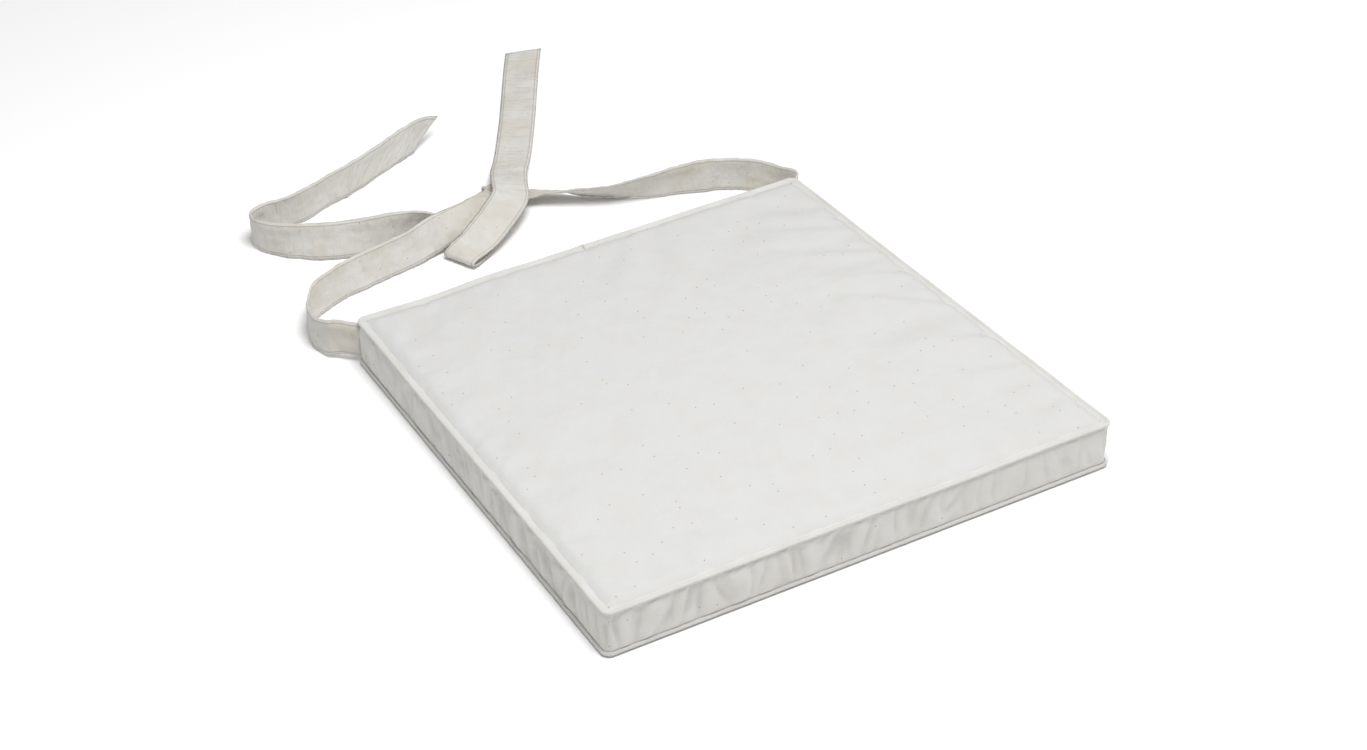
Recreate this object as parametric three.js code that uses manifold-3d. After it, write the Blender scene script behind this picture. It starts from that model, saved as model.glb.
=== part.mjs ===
// Boxed chair seat pad: foam in a piped cotton cover with a zip in the rear band, and two
// cloth ties sewn in at the rear corners and knotted to each other behind the pad.
// Millimetres. +X right, +Y towards the ties, +Z up. The origin is the middle of the underside.

import * as THREE from 'three';
import { mergeVertices } from 'three/addons/utils/BufferGeometryUtils.js';
import Module from 'manifold-3d';

const wasm = await Module();
wasm.setup();

// ---------------------------------------------------------------- driving sizes
const REAR_WIDTH = 390;
const FRONT_WIDTH = 422;
const DEPTH = 400;
const THICKNESS = 40; // underside to the top of the upper piping
const CROWN = 3.2; // how far the middle of the top stands above its edge
const CORNER_RADIUS = 7;
const CLOTH = 0.8; // one layer of cover cloth
const PIPING_DIAMETER = 4.4;
const CORD_DIAMETER = 2.4; // filler cord inside the piping
const TIE_WIDTH = 30;
const TIE_THICKNESS = 1.6;
const ZIP_LENGTH = 330;
const SLIDER_LENGTH = 11;
const PULL_LENGTH = 18;
const GAP = 0.3; // between pieces that touch

// ---------------------------------------------------------------- sizes that follow
const PIPING_RADIUS = PIPING_DIAMETER / 2;
const PIPING_LIFT = 0.4; // the panel, not the piping, rests on the table
const LOW_PIPING_Z = PIPING_RADIUS + PIPING_LIFT;
const HIGH_PIPING_Z = THICKNESS - PIPING_RADIUS;
const PIPING_FLANGE = 1.2; // two layers of piping cloth caught in the seam
const PIPING_FLANGE_REACH = 7; // from the cord's middle inwards
const BAND_INSET = 1.4; // the band lies this far inside the piping's outer line
const SEAM_GAP = 0.8 * GAP; // each band stops this far short of a vertical seam
const BAND_LOW_Z = LOW_PIPING_Z + PIPING_RADIUS + GAP;
const BAND_HIGH_Z = HIGH_PIPING_Z - PIPING_RADIUS - GAP;
const ZIP_Z = (BAND_LOW_Z + BAND_HIGH_Z) / 2;
const REAR_Y = DEPTH / 2;
const PANEL_INSET = PIPING_DIAMETER + 2 * GAP;
const SHOULDER_INSET = 13; // the panels leave the seam's level here
const INNER_INSET = 17; // and reach their own level here
const PANEL_SETTLE = LOW_PIPING_Z - PIPING_FLANGE / 2 - GAP - CLOTH; // the step between them

// ---------------------------------------------------------------- finishes
const COTTON = { color: 0xe9e7df, roughness: 0.95, metalness: 0 };
const PIPING = { color: 0xedebe4, roughness: 0.93, metalness: 0 };
const TIE = { color: 0xdedace, roughness: 0.95, metalness: 0 };
const FOAM = { color: 0xf3ecc9, roughness: 1, metalness: 0 };
const CORD = { color: 0xf4f2ec, roughness: 0.9, metalness: 0 };
const TAPE = { color: 0xe4e1d8, roughness: 0.9, metalness: 0 };
const NYLON = { color: 0xefede6, roughness: 0.5, metalness: 0 };
const METAL = { color: 0xb9bbbd, roughness: 0.35, metalness: 0.9 };

const group = new THREE.Group();
group.name = 'chair_seat_pad';

// ---------------------------------------------------------------- helpers

// Welds a geometry's vertices and drops the triangles that this collapses.
function weld(geometry) {
  geometry.deleteAttribute('normal');
  geometry.deleteAttribute('uv');
  const welded = mergeVertices(geometry, 1e-4);
  const index = welded.index.array;
  const kept = [];
  for (let i = 0; i < index.length; i += 3) {
    const [a, b, c] = [index[i], index[i + 1], index[i + 2]];
    if (a !== b && b !== c && c !== a) kept.push(a, b, c);
  }
  welded.setIndex(kept);
  return welded;
}

function addMesh(name, geometry, finish) {
  const welded = weld(geometry);
  welded.computeVertexNormals();
  const mesh = new THREE.Mesh(welded, new THREE.MeshStandardMaterial(finish));
  mesh.name = name;
  group.add(mesh);
}

// One solid from several geometries that overlap.
function union(geometries) {
  const solids = geometries.map((geometry) => {
    const welded = weld(geometry);
    return new wasm.Manifold(
      new wasm.Mesh({
        numProp: 3,
        vertProperties: new Float32Array(welded.attributes.position.array),
        triVerts: new Uint32Array(welded.index.array),
      })
    );
  });
  const mesh = solids.reduce((sum, solid) => sum.add(solid)).getMesh();
  const geometry = new THREE.BufferGeometry();
  geometry.setAttribute('position', new THREE.BufferAttribute(mesh.vertProperties, 3));
  geometry.setIndex(new THREE.BufferAttribute(mesh.triVerts, 1));
  return geometry;
}

// A box given by its extent along each axis.
function box([x0, x1], [y0, y1], [z0, z1]) {
  const geometry = new THREE.BoxGeometry(x1 - x0, y1 - y0, z1 - z0);
  return geometry.translate((x0 + x1) / 2, (y0 + y1) / 2, (z0 + z1) / 2);
}

// ---------------------------------------------------------------- the pad's plan

const CORNER_STEPS = 6; // spans round each corner; at the rear the middle point is a seam
const LEAST_RADIUS = 1.5; // of the corners further in

// The rounded plan, anticlockwise from the rear-left corner, moved in from the outer line.
function planPoints(inset, rearInset = inset) {
  const halfWidthAt = (y) => {
    const towardsFront = (REAR_Y - y) / DEPTH;
    return (REAR_WIDTH + (FRONT_WIDTH - REAR_WIDTH) * towardsFront) / 2 - inset;
  };
  const rearY = REAR_Y - rearInset;
  const frontY = inset - REAR_Y;
  const corners = [
    new THREE.Vector2(-halfWidthAt(rearY), rearY),
    new THREE.Vector2(-halfWidthAt(frontY), frontY),
    new THREE.Vector2(halfWidthAt(frontY), frontY),
    new THREE.Vector2(halfWidthAt(rearY), rearY),
  ];
  const radius = Math.max(CORNER_RADIUS - inset, LEAST_RADIUS);
  return corners.flatMap((corner, i) => {
    const back = corners[(i + 3) % 4].clone().sub(corner).normalize();
    const ahead = corners[(i + 1) % 4].clone().sub(corner).normalize();
    const halfAngle = Math.acos(back.dot(ahead)) / 2;
    const centre = back.clone().add(ahead).normalize();
    centre.multiplyScalar(radius / Math.sin(halfAngle)).add(corner);
    const start = Math.atan2(back.x, -back.y);
    const turn = Math.PI - 2 * halfAngle;
    return Array.from({ length: CORNER_STEPS + 1 }, (_, k) => {
      const angle = start + (turn * k) / CORNER_STEPS;
      const arm = new THREE.Vector2(Math.cos(angle), Math.sin(angle));
      return arm.multiplyScalar(radius).add(centre);
    });
  });
}

// A path through given stations, one extrusion step to each span. Stations beyond its ends
// set only the angle at which it starts and stops.
class StationPath extends THREE.Curve {
  constructor(stations, before = stations[0], after = stations.at(-1)) {
    super();
    this.stations = stations;
    this.before = before;
    this.after = after;
  }

  getUtoTmapping(u) {
    return u;
  }

  getPoint(t, target = new THREE.Vector3()) {
    const place = t * (this.stations.length - 1);
    const i = Math.min(Math.floor(place), this.stations.length - 2);
    return target.lerpVectors(this.stations[i], this.stations[i + 1], place - i);
  }

  getTangent(t, target = new THREE.Vector3()) {
    const i = Math.round(t * (this.stations.length - 1));
    const here = this.stations[i];
    const arriving = here.clone().sub(this.stations[i - 1] ?? this.before).normalize();
    const leaving = (this.stations[i + 1] ?? this.after).clone().sub(here).normalize();
    return target.addVectors(arriving, leaving).normalize();
  }
}

// Sweeps a section along a level line. Section x points down, section y points inwards.
function sweep(section, line, z, ...beyondEnds) {
  const [stations, ends] = [line, beyondEnds].map((points) =>
    points.map((p) => new THREE.Vector3(p.x, p.y, z))
  );
  return new THREE.ExtrudeGeometry(section, {
    extrudePath: new StationPath(stations, ...ends),
    steps: stations.length - 1,
    curveSegments: 7,
  });
}

// Draws a line's first and last points in by a given length.
function trimEnds(line, length) {
  const trimmed = line.map((p) => p.clone());
  const last = line.length - 1;
  trimmed[0].add(line[1].clone().sub(line[0]).setLength(length));
  trimmed[last].add(line[last - 1].clone().sub(line[last]).setLength(length));
  return trimmed;
}

// ---------------------------------------------------------------- panels and foam

const CROWN_RINGS = [0, 0.3, 0.6, 0.82]; // shares of the way out to the inner ring
const CROWN_POWER = 2.6; // how flat the crown's middle is

// A slab over the plan. Top and under each have a seam level, an inner level and a crown.
function slab({ inset, rearInset = inset, top, under }) {
  const innerRing = planPoints(INNER_INSET);
  const crownRings = ({ inner, crown = 0 }) =>
    CROWN_RINGS.map((share) => ({
      points: innerRing,
      share,
      z: inner + crown * (1 - share ** CROWN_POWER),
    }));
  const edgeRings = ({ seam, inner }) => [
    { points: innerRing, share: 1, z: inner },
    { points: planPoints(SHOULDER_INSET), share: 1, z: seam },
    { points: planPoints(inset, rearInset), share: 1, z: seam },
  ];
  const rings = [
    ...crownRings(under),
    ...edgeRings(under),
    ...edgeRings(top).reverse(),
    ...crownRings(top).reverse(),
  ];

  // a lathed profile gives the faces; each of its points then moves to its ring
  const profile = rings.map((ring, j) => new THREE.Vector2(ring.share, j));
  const lathe = new THREE.LatheGeometry(profile, innerRing.length);
  const position = lathe.attributes.position;
  for (let v = 0; v < position.count; v += 1) {
    const ring = rings[v % rings.length];
    const p = ring.points[Math.floor(v / rings.length) % innerRing.length];
    position.setXYZ(v, p.x * ring.share, p.y * ring.share, ring.z);
  }
  return lathe;
}

const TOP_SEAM_Z = HIGH_PIPING_Z + PIPING_FLANGE / 2 + GAP;
const topUnder = { seam: TOP_SEAM_Z, inner: TOP_SEAM_Z + PANEL_SETTLE, crown: CROWN };
const raise = (levels, height) => ({
  ...levels,
  seam: levels.seam + height,
  inner: levels.inner + height,
});
const bottomUnder = { seam: PANEL_SETTLE, inner: 0 };

addMesh(
  'top_panel',
  slab({ inset: PANEL_INSET, top: raise(topUnder, CLOTH), under: topUnder }),
  COTTON
);
addMesh(
  'bottom_panel',
  slab({ inset: PANEL_INSET, top: raise(bottomUnder, CLOTH), under: bottomUnder }),
  COTTON
);

const FOAM_INSET = BAND_INSET + CLOTH + GAP;
const FOAM_REAR_INSET = 5.2; // room for the back of the zip
addMesh(
  'foam_core',
  slab({
    inset: FOAM_INSET,
    rearInset: FOAM_REAR_INSET,
    top: { ...raise(topUnder, -GAP), seam: BAND_HIGH_Z - CLOTH - GAP },
    under: { seam: BAND_LOW_Z + CLOTH + GAP, inner: CLOTH + GAP },
  }),
  FOAM
);

// ---------------------------------------------------------------- piping

// The whole way round from a join in the middle of the rear edge.
function pipingLine() {
  const line = planPoints(PIPING_RADIUS);
  const rearY = REAR_Y - PIPING_RADIUS;
  return [new THREE.Vector2(-GAP, rearY), ...line, new THREE.Vector2(GAP, rearY)];
}

// Cloth wrapped round the cord, its two edges held together as a flange.
function pipingCoverSection() {
  const half = PIPING_FLANGE / 2;
  const root = Math.asin(half / PIPING_RADIUS);
  const shape = new THREE.Shape();
  shape.moveTo(half, PIPING_FLANGE_REACH);
  shape.lineTo(half, PIPING_RADIUS * Math.cos(root));
  shape.absarc(0, 0, PIPING_RADIUS, Math.PI / 2 - root, Math.PI / 2 + root, true);
  shape.lineTo(-half, PIPING_FLANGE_REACH);
  shape.closePath();
  const bore = new THREE.Path();
  bore.absarc(0, 0, CORD_DIAMETER / 2 + GAP, 0, 2 * Math.PI);
  shape.holes.push(bore);
  return shape;
}

function cordSection() {
  const shape = new THREE.Shape();
  shape.absarc(0, 0, CORD_DIAMETER / 2, 0, 2 * Math.PI);
  return shape;
}

for (const [name, z] of [
  ['top', HIGH_PIPING_Z],
  ['bottom', LOW_PIPING_Z],
]) {
  addMesh(`${name}_piping_cover`, sweep(pipingCoverSection(), pipingLine(), z), PIPING);
  addMesh(`${name}_piping_cord`, sweep(cordSection(), pipingLine(), z), CORD);
}

// ---------------------------------------------------------------- band and zip

const ZIP_OPENING = 9.2; // between the two rear bands
const bandLine = planPoints(BAND_INSET);
const leftSeam = CORNER_STEPS / 2; // middle of the rear-left corner in the plan line
const rightSeam = bandLine.length - 1 - leftSeam;

const TURNED_IN = 0.55 * CORNER_RADIUS; // the turned-in edge has to pass round the corners

// A wall with the cloth turned in at the ends that are sewn to piping.
function bandSection(lowZ, highZ, turnedLow, turnedHigh) {
  const shape = new THREE.Shape();
  shape.moveTo(-lowZ, 0);
  shape.lineTo(-highZ, 0);
  if (turnedHigh) {
    shape.lineTo(-highZ, TURNED_IN);
    shape.lineTo(CLOTH - highZ, TURNED_IN);
    shape.lineTo(CLOTH - highZ, CLOTH);
  } else {
    shape.lineTo(-highZ, CLOTH);
  }
  if (turnedLow) {
    shape.lineTo(-lowZ - CLOTH, CLOTH);
    shape.lineTo(-lowZ - CLOTH, TURNED_IN);
    shape.lineTo(-lowZ, TURNED_IN);
  } else {
    shape.lineTo(-lowZ, CLOTH);
  }
  shape.closePath();
  return shape;
}

// Sweeps a band round the plan from one seam to another, stopping short of each.
function band(section, fromSeam, toSeam) {
  const at = (i) => bandLine[i % bandLine.length];
  const line = Array.from({ length: toSeam - fromSeam + 1 }, (_, k) => at(fromSeam + k));
  const trimmed = trimEnds(line, SEAM_GAP);
  return sweep(section, trimmed, 0, at(fromSeam - 1), at(toSeam + 1));
}

const upperLip = bandSection(ZIP_Z + ZIP_OPENING / 2, BAND_HIGH_Z, false, true);
const lowerLip = bandSection(BAND_LOW_Z, ZIP_Z - ZIP_OPENING / 2, true, false);
const wholeBand = bandSection(BAND_LOW_Z, BAND_HIGH_Z, true, true);
const onceRound = bandLine.length + leftSeam;
addMesh('side_band', band(wholeBand, leftSeam, rightSeam), COTTON);
addMesh('rear_band_upper', band(upperLip, rightSeam, onceRound), COTTON);
addMesh('rear_band_lower', band(lowerLip, rightSeam, onceRound), COTTON);

const COIL_SPACING = 1.4; // between the two rows, for the slider's post
const COIL_HEIGHT = 2.5;
const COIL_DEPTH = 1.6;
const TAPE_THICKNESS = 0.6;
const TAPE_CLEARANCE = 1.1; // from the cloth turned in at the piping
const TAPE_HEIGHT = (BAND_HIGH_Z - BAND_LOW_Z - COIL_SPACING) / 2 - CLOTH - TAPE_CLEARANCE;
const TAPE_END = 17; // tape beyond each end of the coil
const STOP_LENGTH = 2.2;
const tapeFront = REAR_Y - BAND_INSET - CLOTH - GAP;
const tapeY = [tapeFront - TAPE_THICKNESS, tapeFront];
const coilY = [tapeFront + GAP, tapeFront + GAP + COIL_DEPTH];
const coilX = [-ZIP_LENGTH / 2, ZIP_LENGTH / 2];

// An extent that starts off the zip's middle line, on the upper (1) or lower (-1) side.
function besideZip(side, height) {
  const near = ZIP_Z + (side * COIL_SPACING) / 2;
  return side > 0 ? [near, near + height] : [near - height, near];
}

for (const [name, side] of [
  ['upper', 1],
  ['lower', -1],
]) {
  const tapeX = [coilX[0] - TAPE_END, coilX[1] + TAPE_END];
  const stopX = [coilX[0] - GAP - STOP_LENGTH, coilX[0] - GAP];
  addMesh(`zip_tape_${name}`, box(tapeX, tapeY, besideZip(side, TAPE_HEIGHT)), TAPE);
  addMesh(`zip_coil_${name}`, box(coilX, coilY, besideZip(side, COIL_HEIGHT)), NYLON);
  addMesh(`zip_top_stop_${name}`, box(stopX, coilY, besideZip(side, COIL_HEIGHT)), METAL);
}
const bottomStopX = [coilX[1] + GAP, coilX[1] + GAP + STOP_LENGTH];
const coilHalf = COIL_SPACING / 2 + COIL_HEIGHT;
const bothCoils = [ZIP_Z - coilHalf, ZIP_Z + coilHalf];
addMesh('zip_bottom_stop', box(bottomStopX, coilY, bothCoils), METAL);

// ---------------------------------------------------------------- slider and pull

const PLATE = 1.2; // thickness of the slider's two plates
const sliderX = coilX[0] + SLIDER_LENGTH / 2; // zip closed
const sliderHalf = SLIDER_LENGTH / 2;
const flangeIn = coilHalf + GAP;
const plateHalf = ZIP_OPENING / 2 - GAP;
const frontPlateY = [coilY[1] + GAP, coilY[1] + GAP + PLATE];
const backPlateY = [tapeY[0] - GAP - PLATE, tapeY[0] - GAP];
const POST_SETBACK = 0.5; // from the slider's closed end
const POST_LENGTH = 3;
const BAIL_OPENING = 2.2;
const BAIL_BAR = 1;
const BAIL_WIDTH = 1.6;
const BAIL_FOOT_IN = 2.6; // inner and outer faces of the bail's feet
const BAIL_FOOT_OUT = 3.8;
const bailTop = frontPlateY[1] + BAIL_OPENING;

function slider() {
  const spanX = [sliderX - sliderHalf, sliderX + sliderHalf];
  const spanZ = [ZIP_Z - plateHalf, ZIP_Z + plateHalf];
  const postX = [spanX[0] + POST_SETBACK, spanX[0] + POST_SETBACK + POST_LENGTH];
  const postZ = [ZIP_Z - COIL_SPACING / 2 + GAP, ZIP_Z + COIL_SPACING / 2 - GAP];
  const bailZ = [ZIP_Z - BAIL_WIDTH / 2, ZIP_Z + BAIL_WIDTH / 2];
  const foot = (x0, x1) => box([x0, x1], [frontPlateY[0], bailTop + BAIL_BAR], bailZ);
  const flange = (z0, z1) => box(spanX, [tapeFront + 2 * GAP, frontPlateY[1]], [z0, z1]);
  return union([
    box(spanX, frontPlateY, spanZ),
    box(spanX, backPlateY, spanZ),
    box(postX, [backPlateY[0], frontPlateY[1]], postZ),
    flange(ZIP_Z + flangeIn, ZIP_Z + plateHalf),
    flange(ZIP_Z - plateHalf, ZIP_Z - flangeIn),
    foot(sliderX - BAIL_FOOT_OUT, sliderX - BAIL_FOOT_IN),
    foot(sliderX + BAIL_FOOT_IN, sliderX + BAIL_FOOT_OUT),
    box(
      [sliderX - BAIL_FOOT_OUT, sliderX + BAIL_FOOT_OUT],
      [bailTop, bailTop + BAIL_BAR],
      bailZ
    ),
  ]);
}
addMesh('zip_slider', slider(), METAL);

const PULL_THICKNESS = 1.2;
const PULL_HALF_WIDTH = 3.4;
const PULL_TIP_HALF_WIDTH = 2.6;
const SLOT_END = 4.9; // clears the bail's outer corners all the way round
const SLOT_HALF_WIDTH = 1.7;
const SHOULDER = 1; // full width of the tab beyond its slot
const pinHalf = PULL_THICKNESS / 2; // the pull turns on the bar across its slot
const pullAxisY = frontPlateY[1] + BAIL_OPENING / 2;

function pullTab() {
  const tip = PULL_LENGTH - pinHalf - PULL_TIP_HALF_WIDTH;
  const shape = new THREE.Shape();
  shape.moveTo(-pinHalf, -PULL_HALF_WIDTH);
  shape.lineTo(SLOT_END + SHOULDER, -PULL_HALF_WIDTH);
  shape.lineTo(tip, -PULL_TIP_HALF_WIDTH);
  shape.absarc(tip, 0, PULL_TIP_HALF_WIDTH, -Math.PI / 2, Math.PI / 2);
  shape.lineTo(SLOT_END + SHOULDER, PULL_HALF_WIDTH);
  shape.lineTo(-pinHalf, PULL_HALF_WIDTH);
  shape.closePath();
  const slot = new THREE.Path();
  slot.moveTo(pinHalf, -SLOT_HALF_WIDTH);
  slot.lineTo(SLOT_END, -SLOT_HALF_WIDTH);
  slot.lineTo(SLOT_END, SLOT_HALF_WIDTH);
  slot.lineTo(pinHalf, SLOT_HALF_WIDTH);
  slot.closePath();
  shape.holes.push(slot);
  const tab = new THREE.ExtrudeGeometry(shape, {
    depth: PULL_THICKNESS,
    bevelEnabled: false,
    curveSegments: 8,
  });
  tab.rotateX(Math.PI / 2);
  return tab.translate(sliderX, pullAxisY + pinHalf, ZIP_Z);
}
addMesh('zip_pull_tab', pullTab(), METAL);

// ---------------------------------------------------------------- ties

// Each station is the middle of the strap [x, y beyond the pad's rear, z], the way the width
// points, and the width, which is less where the strap is gathered in the knot.
const UP = [0, 0, 1];
const ROUTE_REAR_WIDTH = 390; // the two sizes that these routes are laid out for
const ROUTE_TIE_WIDTH = 30;
const ON_EDGE_Z = ROUTE_TIE_WIDTH / 2 + 0.8;

const LEFT_ROUTE = [
  [[-210.5, 17, 17.6], UP, 30],
  [[-214, 30, ON_EDGE_Z], UP, 30],
  [[-211, 47, ON_EDGE_Z], UP, 30],
  [[-203.5, 60.5, ON_EDGE_Z], [-0.04, 0.04, 1], 30],
  [[-189, 72, ON_EDGE_Z], [-0.08, 0.14, 0.98], 30],
  [[-162, 83, 15.6], [-0.08, 0.2, 0.97], 30],
  [[-130, 89.5, 15.6], [-0.08, 0.24, 0.97], 30],
  [[-101, 95, 15.6], [-0.11, 0.28, 0.95], 30],
  [[-77, 102.5, 15.8], [-0.2, 0.42, 0.88], 30],
  [[-50, 112, 16.2], [-0.4, 0.72, 0.55], 26],
  [[-26, 123, 16.6], [-0.5, 0.83, 0.2], 20],
  [[-8, 133.5, 15.4], [-0.8, 0.6, 0], 18],
  [[1, 142, 13], [-0.95, 0.3, 0], 18],
  [[3.4, 149.5, 11.4], [-0.97, 0.25, 0], 18],
  [[4.6, 153.5, 7.4], [-0.97, 0.25, 0], 18],
  [[3.4, 149.5, 3.4], [-0.97, 0.25, 0], 18],
  [[1, 142, 2], [-0.97, 0.25, 0], 18],
  [[-6, 130, 2], [-0.85, 0.52, 0], 18],
  [[-20, 111, 2], [-0.77, 0.64, 0], 21],
  [[-33, 95.5, 2], [-0.64, 0.77, 0], 25],
  [[-46, 86.5, 2], [-0.5, 0.86, 0], 28],
  [[-60, 79.5, 2.2], [-0.42, 0.9, 0], 30],
  [[-65.5, 76.9, 3.2], [-0.42, 0.9, 0], 30],
  [[-67.2, 76.1, 5.4], [-0.42, 0.9, 0], 30],
  [[-65.5, 76.8, 7.6], [-0.42, 0.9, 0], 30],
  [[-60, 79, 8.8], [-0.42, 0.9, 0.03], 30],
  [[-45, 84.5, 11.8], [-0.48, 0.83, 0.2], 30],
  [[-20, 98.5, 18], [-0.53, 0.8, 0.3], 30],
  [[1, 116, 20.6], [-0.64, 0.72, 0.22], 30],
  [[13, 140, 19], [-0.8, 0.6, 0.06], 30],
  [[26, 164, 11], [-0.85, 0.53, 0], 30],
  [[42, 188, 5], [-0.85, 0.53, 0], 30],
  [[74, 238.5, 1.6], [-0.85, 0.53, 0], 30],
  [[119.3, 313.2, 1.2], [-0.85, 0.53, 0], 30],
  [[140.5, 347, 1.2], [-0.85, 0.53, 0], 30],
];

const RIGHT_ROUTE = [
  [[202.5, 21, 17.6], UP, 30],
  [[198.5, 33, ON_EDGE_Z], UP, 30],
  [[191, 45.5, ON_EDGE_Z], UP, 30],
  [[179.5, 56.5, ON_EDGE_Z], UP, 30],
  [[165, 64.5, ON_EDGE_Z], UP, 30],
  [[148, 70.5, ON_EDGE_Z], UP, 30],
  [[126, 75.5, ON_EDGE_Z], [-0.08, -0.15, 0.98], 30],
  [[104, 80.5, 14.6], [-0.18, -0.33, 0.93], 30],
  [[78, 93.5, 12], [-0.32, -0.57, 0.75], 30],
  [[56, 108, 10.6], [-0.38, -0.66, 0.64], 28],
  [[36, 122, 9], [-0.35, -0.8, 0.4], 24],
  [[18, 130, 7.6], [-0.2, -0.95, 0.12], 18],
  [[0, 131, 7], [0, -1, 0], 15],
  [[-18, 128, 7.2], [0.1, -0.97, 0.2], 16],
  [[-36, 126, 8.4], [0.12, -0.9, 0.35], 18],
  [[-58, 127, 10.8], [0.1, -0.68, 0.72], 22],
  [[-80, 127, 14.6], [-0.02, -0.05, 1], 27],
  [[-104, 128, 15.2], [-0.1, 0.3, 0.95], 30],
  [[-127, 132.5, 14.8], [-0.15, 0.4, 0.91], 30],
  [[-150, 140, 15.2], [-0.18, 0.4, 0.9], 30],
  [[-169, 151, 15.6], [-0.2, 0.33, 0.92], 30],
  [[-184, 163, 15.7], [-0.17, 0.2, 0.96], 30],
  [[-192, 176, 15.8], [-0.1, 0.05, 0.99], 30],
  [[-192.5, 187, ON_EDGE_Z], UP, 30],
  [[-184, 192.5, ON_EDGE_Z], UP, 30],
  [[-165, 193, ON_EDGE_Z], UP, 30],
  [[-142, 196.5, ON_EDGE_Z], UP, 30],
  [[-117, 205.5, ON_EDGE_Z], UP, 30],
  [[-92, 213, ON_EDGE_Z], UP, 30],
  [[-52, 230, ON_EDGE_Z], UP, 30],
  [[-32, 238.5, ON_EDGE_Z], UP, 30],
  [[-18.5, 244, 15.4], UP, 30],
  [[-6, 250, 11.4], UP, 30],
  [[6, 256.5, 4.2], UP, 30],
];

const SEWN_LENGTH = 7.3; // from the seam to where the strap can turn
const TURN_CLEARANCE = 1.9; // lets the strap turn past its sewn end
const LEAD = 9.6; // the strap leaves the seam straight for this long
const ROOT_WIDTH = Math.min(TIE_WIDTH, BAND_HIGH_Z - BAND_LOW_Z); // a wide tie is gathered

// The stations of one tie: straight out of its corner seam, then along its route.
function tieStations(seamIndex, route) {
  const [before, seam, after] = [-1, 0, 1].map((step) => bandLine[seamIndex + step]);
  const outward = seam.clone().multiplyScalar(2).sub(before).sub(after).normalize();
  const level = (distance) => {
    const p = outward.clone().multiplyScalar(distance).add(seam);
    return [[p.x, p.y, ZIP_Z], UP, ROOT_WIDTH];
  };
  const spread = REAR_WIDTH / ROUTE_REAR_WIDTH;
  const swell = TIE_WIDTH / ROUTE_TIE_WIDTH;
  const laid = route.map(([[x, y, z], across, width]) => [
    [x * spread, REAR_Y + y, z * swell],
    across,
    width * swell,
  ]);
  return {
    sewn: [level(3 * GAP), level(SEWN_LENGTH - TURN_CLEARANCE)],
    loose: [level(SEWN_LENGTH), level(SEWN_LENGTH + LEAD), ...laid],
  };
}

const STEPS_PER_SPAN = 3;
const STEPS_ACROSS = 3;
const END_RAMP = 3; // the slant of a cut end fades over this many times its own length
const LEFT_END_SLANT = -0.006; // share of the route by which one edge outruns the other
const RIGHT_END_SLANT = 0.056;

// A flat strap through its stations, its end cut at a slant.
function strap(stations, slant = 0) {
  const spans = stations.length - 1;
  const middle = new THREE.CatmullRomCurve3(stations.map(([p]) => new THREE.Vector3(...p)));
  const across = new THREE.CatmullRomCurve3(stations.map(([, w]) => new THREE.Vector3(...w)));
  const blank = new THREE.BoxGeometry(1, 1, 1, spans * STEPS_PER_SPAN, STEPS_ACROSS, 1);
  const position = blank.attributes.position;
  for (let v = 0; v < position.count; v += 1) {
    const acrossShare = position.getY(v);
    const even = position.getX(v) + 0.5;
    const ramp = slant ? Math.max(0, 1 - (1 - even) / Math.abs(END_RAMP * slant)) : 0;
    const t = even - (Math.abs(slant) / 2 - slant * acrossShare) * ramp;
    const span = Math.min(Math.floor(t * spans), spans - 1);
    const width = THREE.MathUtils.lerp(
      stations[span][2],
      stations[span + 1][2],
      t * spans - span
    );
    const thickness = (TIE_THICKNESS * TIE_WIDTH) / width; // the same cloth, gathered
    const along = middle.getTangent(t);
    const w = across.getPoint(t);
    w.addScaledVector(along, -w.dot(along)).normalize();
    const p = middle.getPoint(t);
    p.addScaledVector(w, acrossShare * width);
    p.addScaledVector(along.cross(w), position.getZ(v) * thickness);
    position.setXYZ(v, p.x, p.y, p.z);
  }
  return blank;
}

for (const [side, seamIndex, route, slant] of [
  ['left', leftSeam, LEFT_ROUTE, LEFT_END_SLANT],
  ['right', rightSeam, RIGHT_ROUTE, RIGHT_END_SLANT],
]) {
  const { sewn, loose } = tieStations(seamIndex, route);
  addMesh(`tie_${side}_sewn_end`, strap(sewn), TIE);
  addMesh(`tie_${side}`, strap(loose, slant), TIE);
}

export default group;
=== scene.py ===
"""Boxed chair seat pad with piped edges, a zip in its rear band and two knotted cloth ties.

Metres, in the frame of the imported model: +X right, +Y towards the ties, +Z up, with the
origin in the middle of the underside.
"""

import logging
import math
from bisect import bisect_right
from dataclasses import dataclass, field
from enum import Enum
from typing import Callable, Sequence

import bmesh
import bpy
from mathutils import Matrix, Vector, noise


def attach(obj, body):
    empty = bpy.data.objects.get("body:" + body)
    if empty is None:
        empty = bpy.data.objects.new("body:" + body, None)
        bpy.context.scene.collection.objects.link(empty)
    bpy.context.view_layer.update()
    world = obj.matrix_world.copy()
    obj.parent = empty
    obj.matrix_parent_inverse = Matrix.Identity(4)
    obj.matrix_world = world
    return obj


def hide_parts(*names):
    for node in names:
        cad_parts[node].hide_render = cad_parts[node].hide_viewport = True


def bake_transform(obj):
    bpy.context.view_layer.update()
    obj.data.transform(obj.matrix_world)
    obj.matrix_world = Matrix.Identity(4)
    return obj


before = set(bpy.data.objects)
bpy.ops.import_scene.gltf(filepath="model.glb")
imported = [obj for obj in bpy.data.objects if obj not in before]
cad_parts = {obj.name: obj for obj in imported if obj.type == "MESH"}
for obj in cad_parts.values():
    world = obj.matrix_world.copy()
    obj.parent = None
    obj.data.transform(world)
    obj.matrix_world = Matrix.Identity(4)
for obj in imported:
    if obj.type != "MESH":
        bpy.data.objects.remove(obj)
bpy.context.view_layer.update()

log = logging.getLogger("seat_pad")

MM = 0.001
TURN = 2 * math.pi

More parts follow.
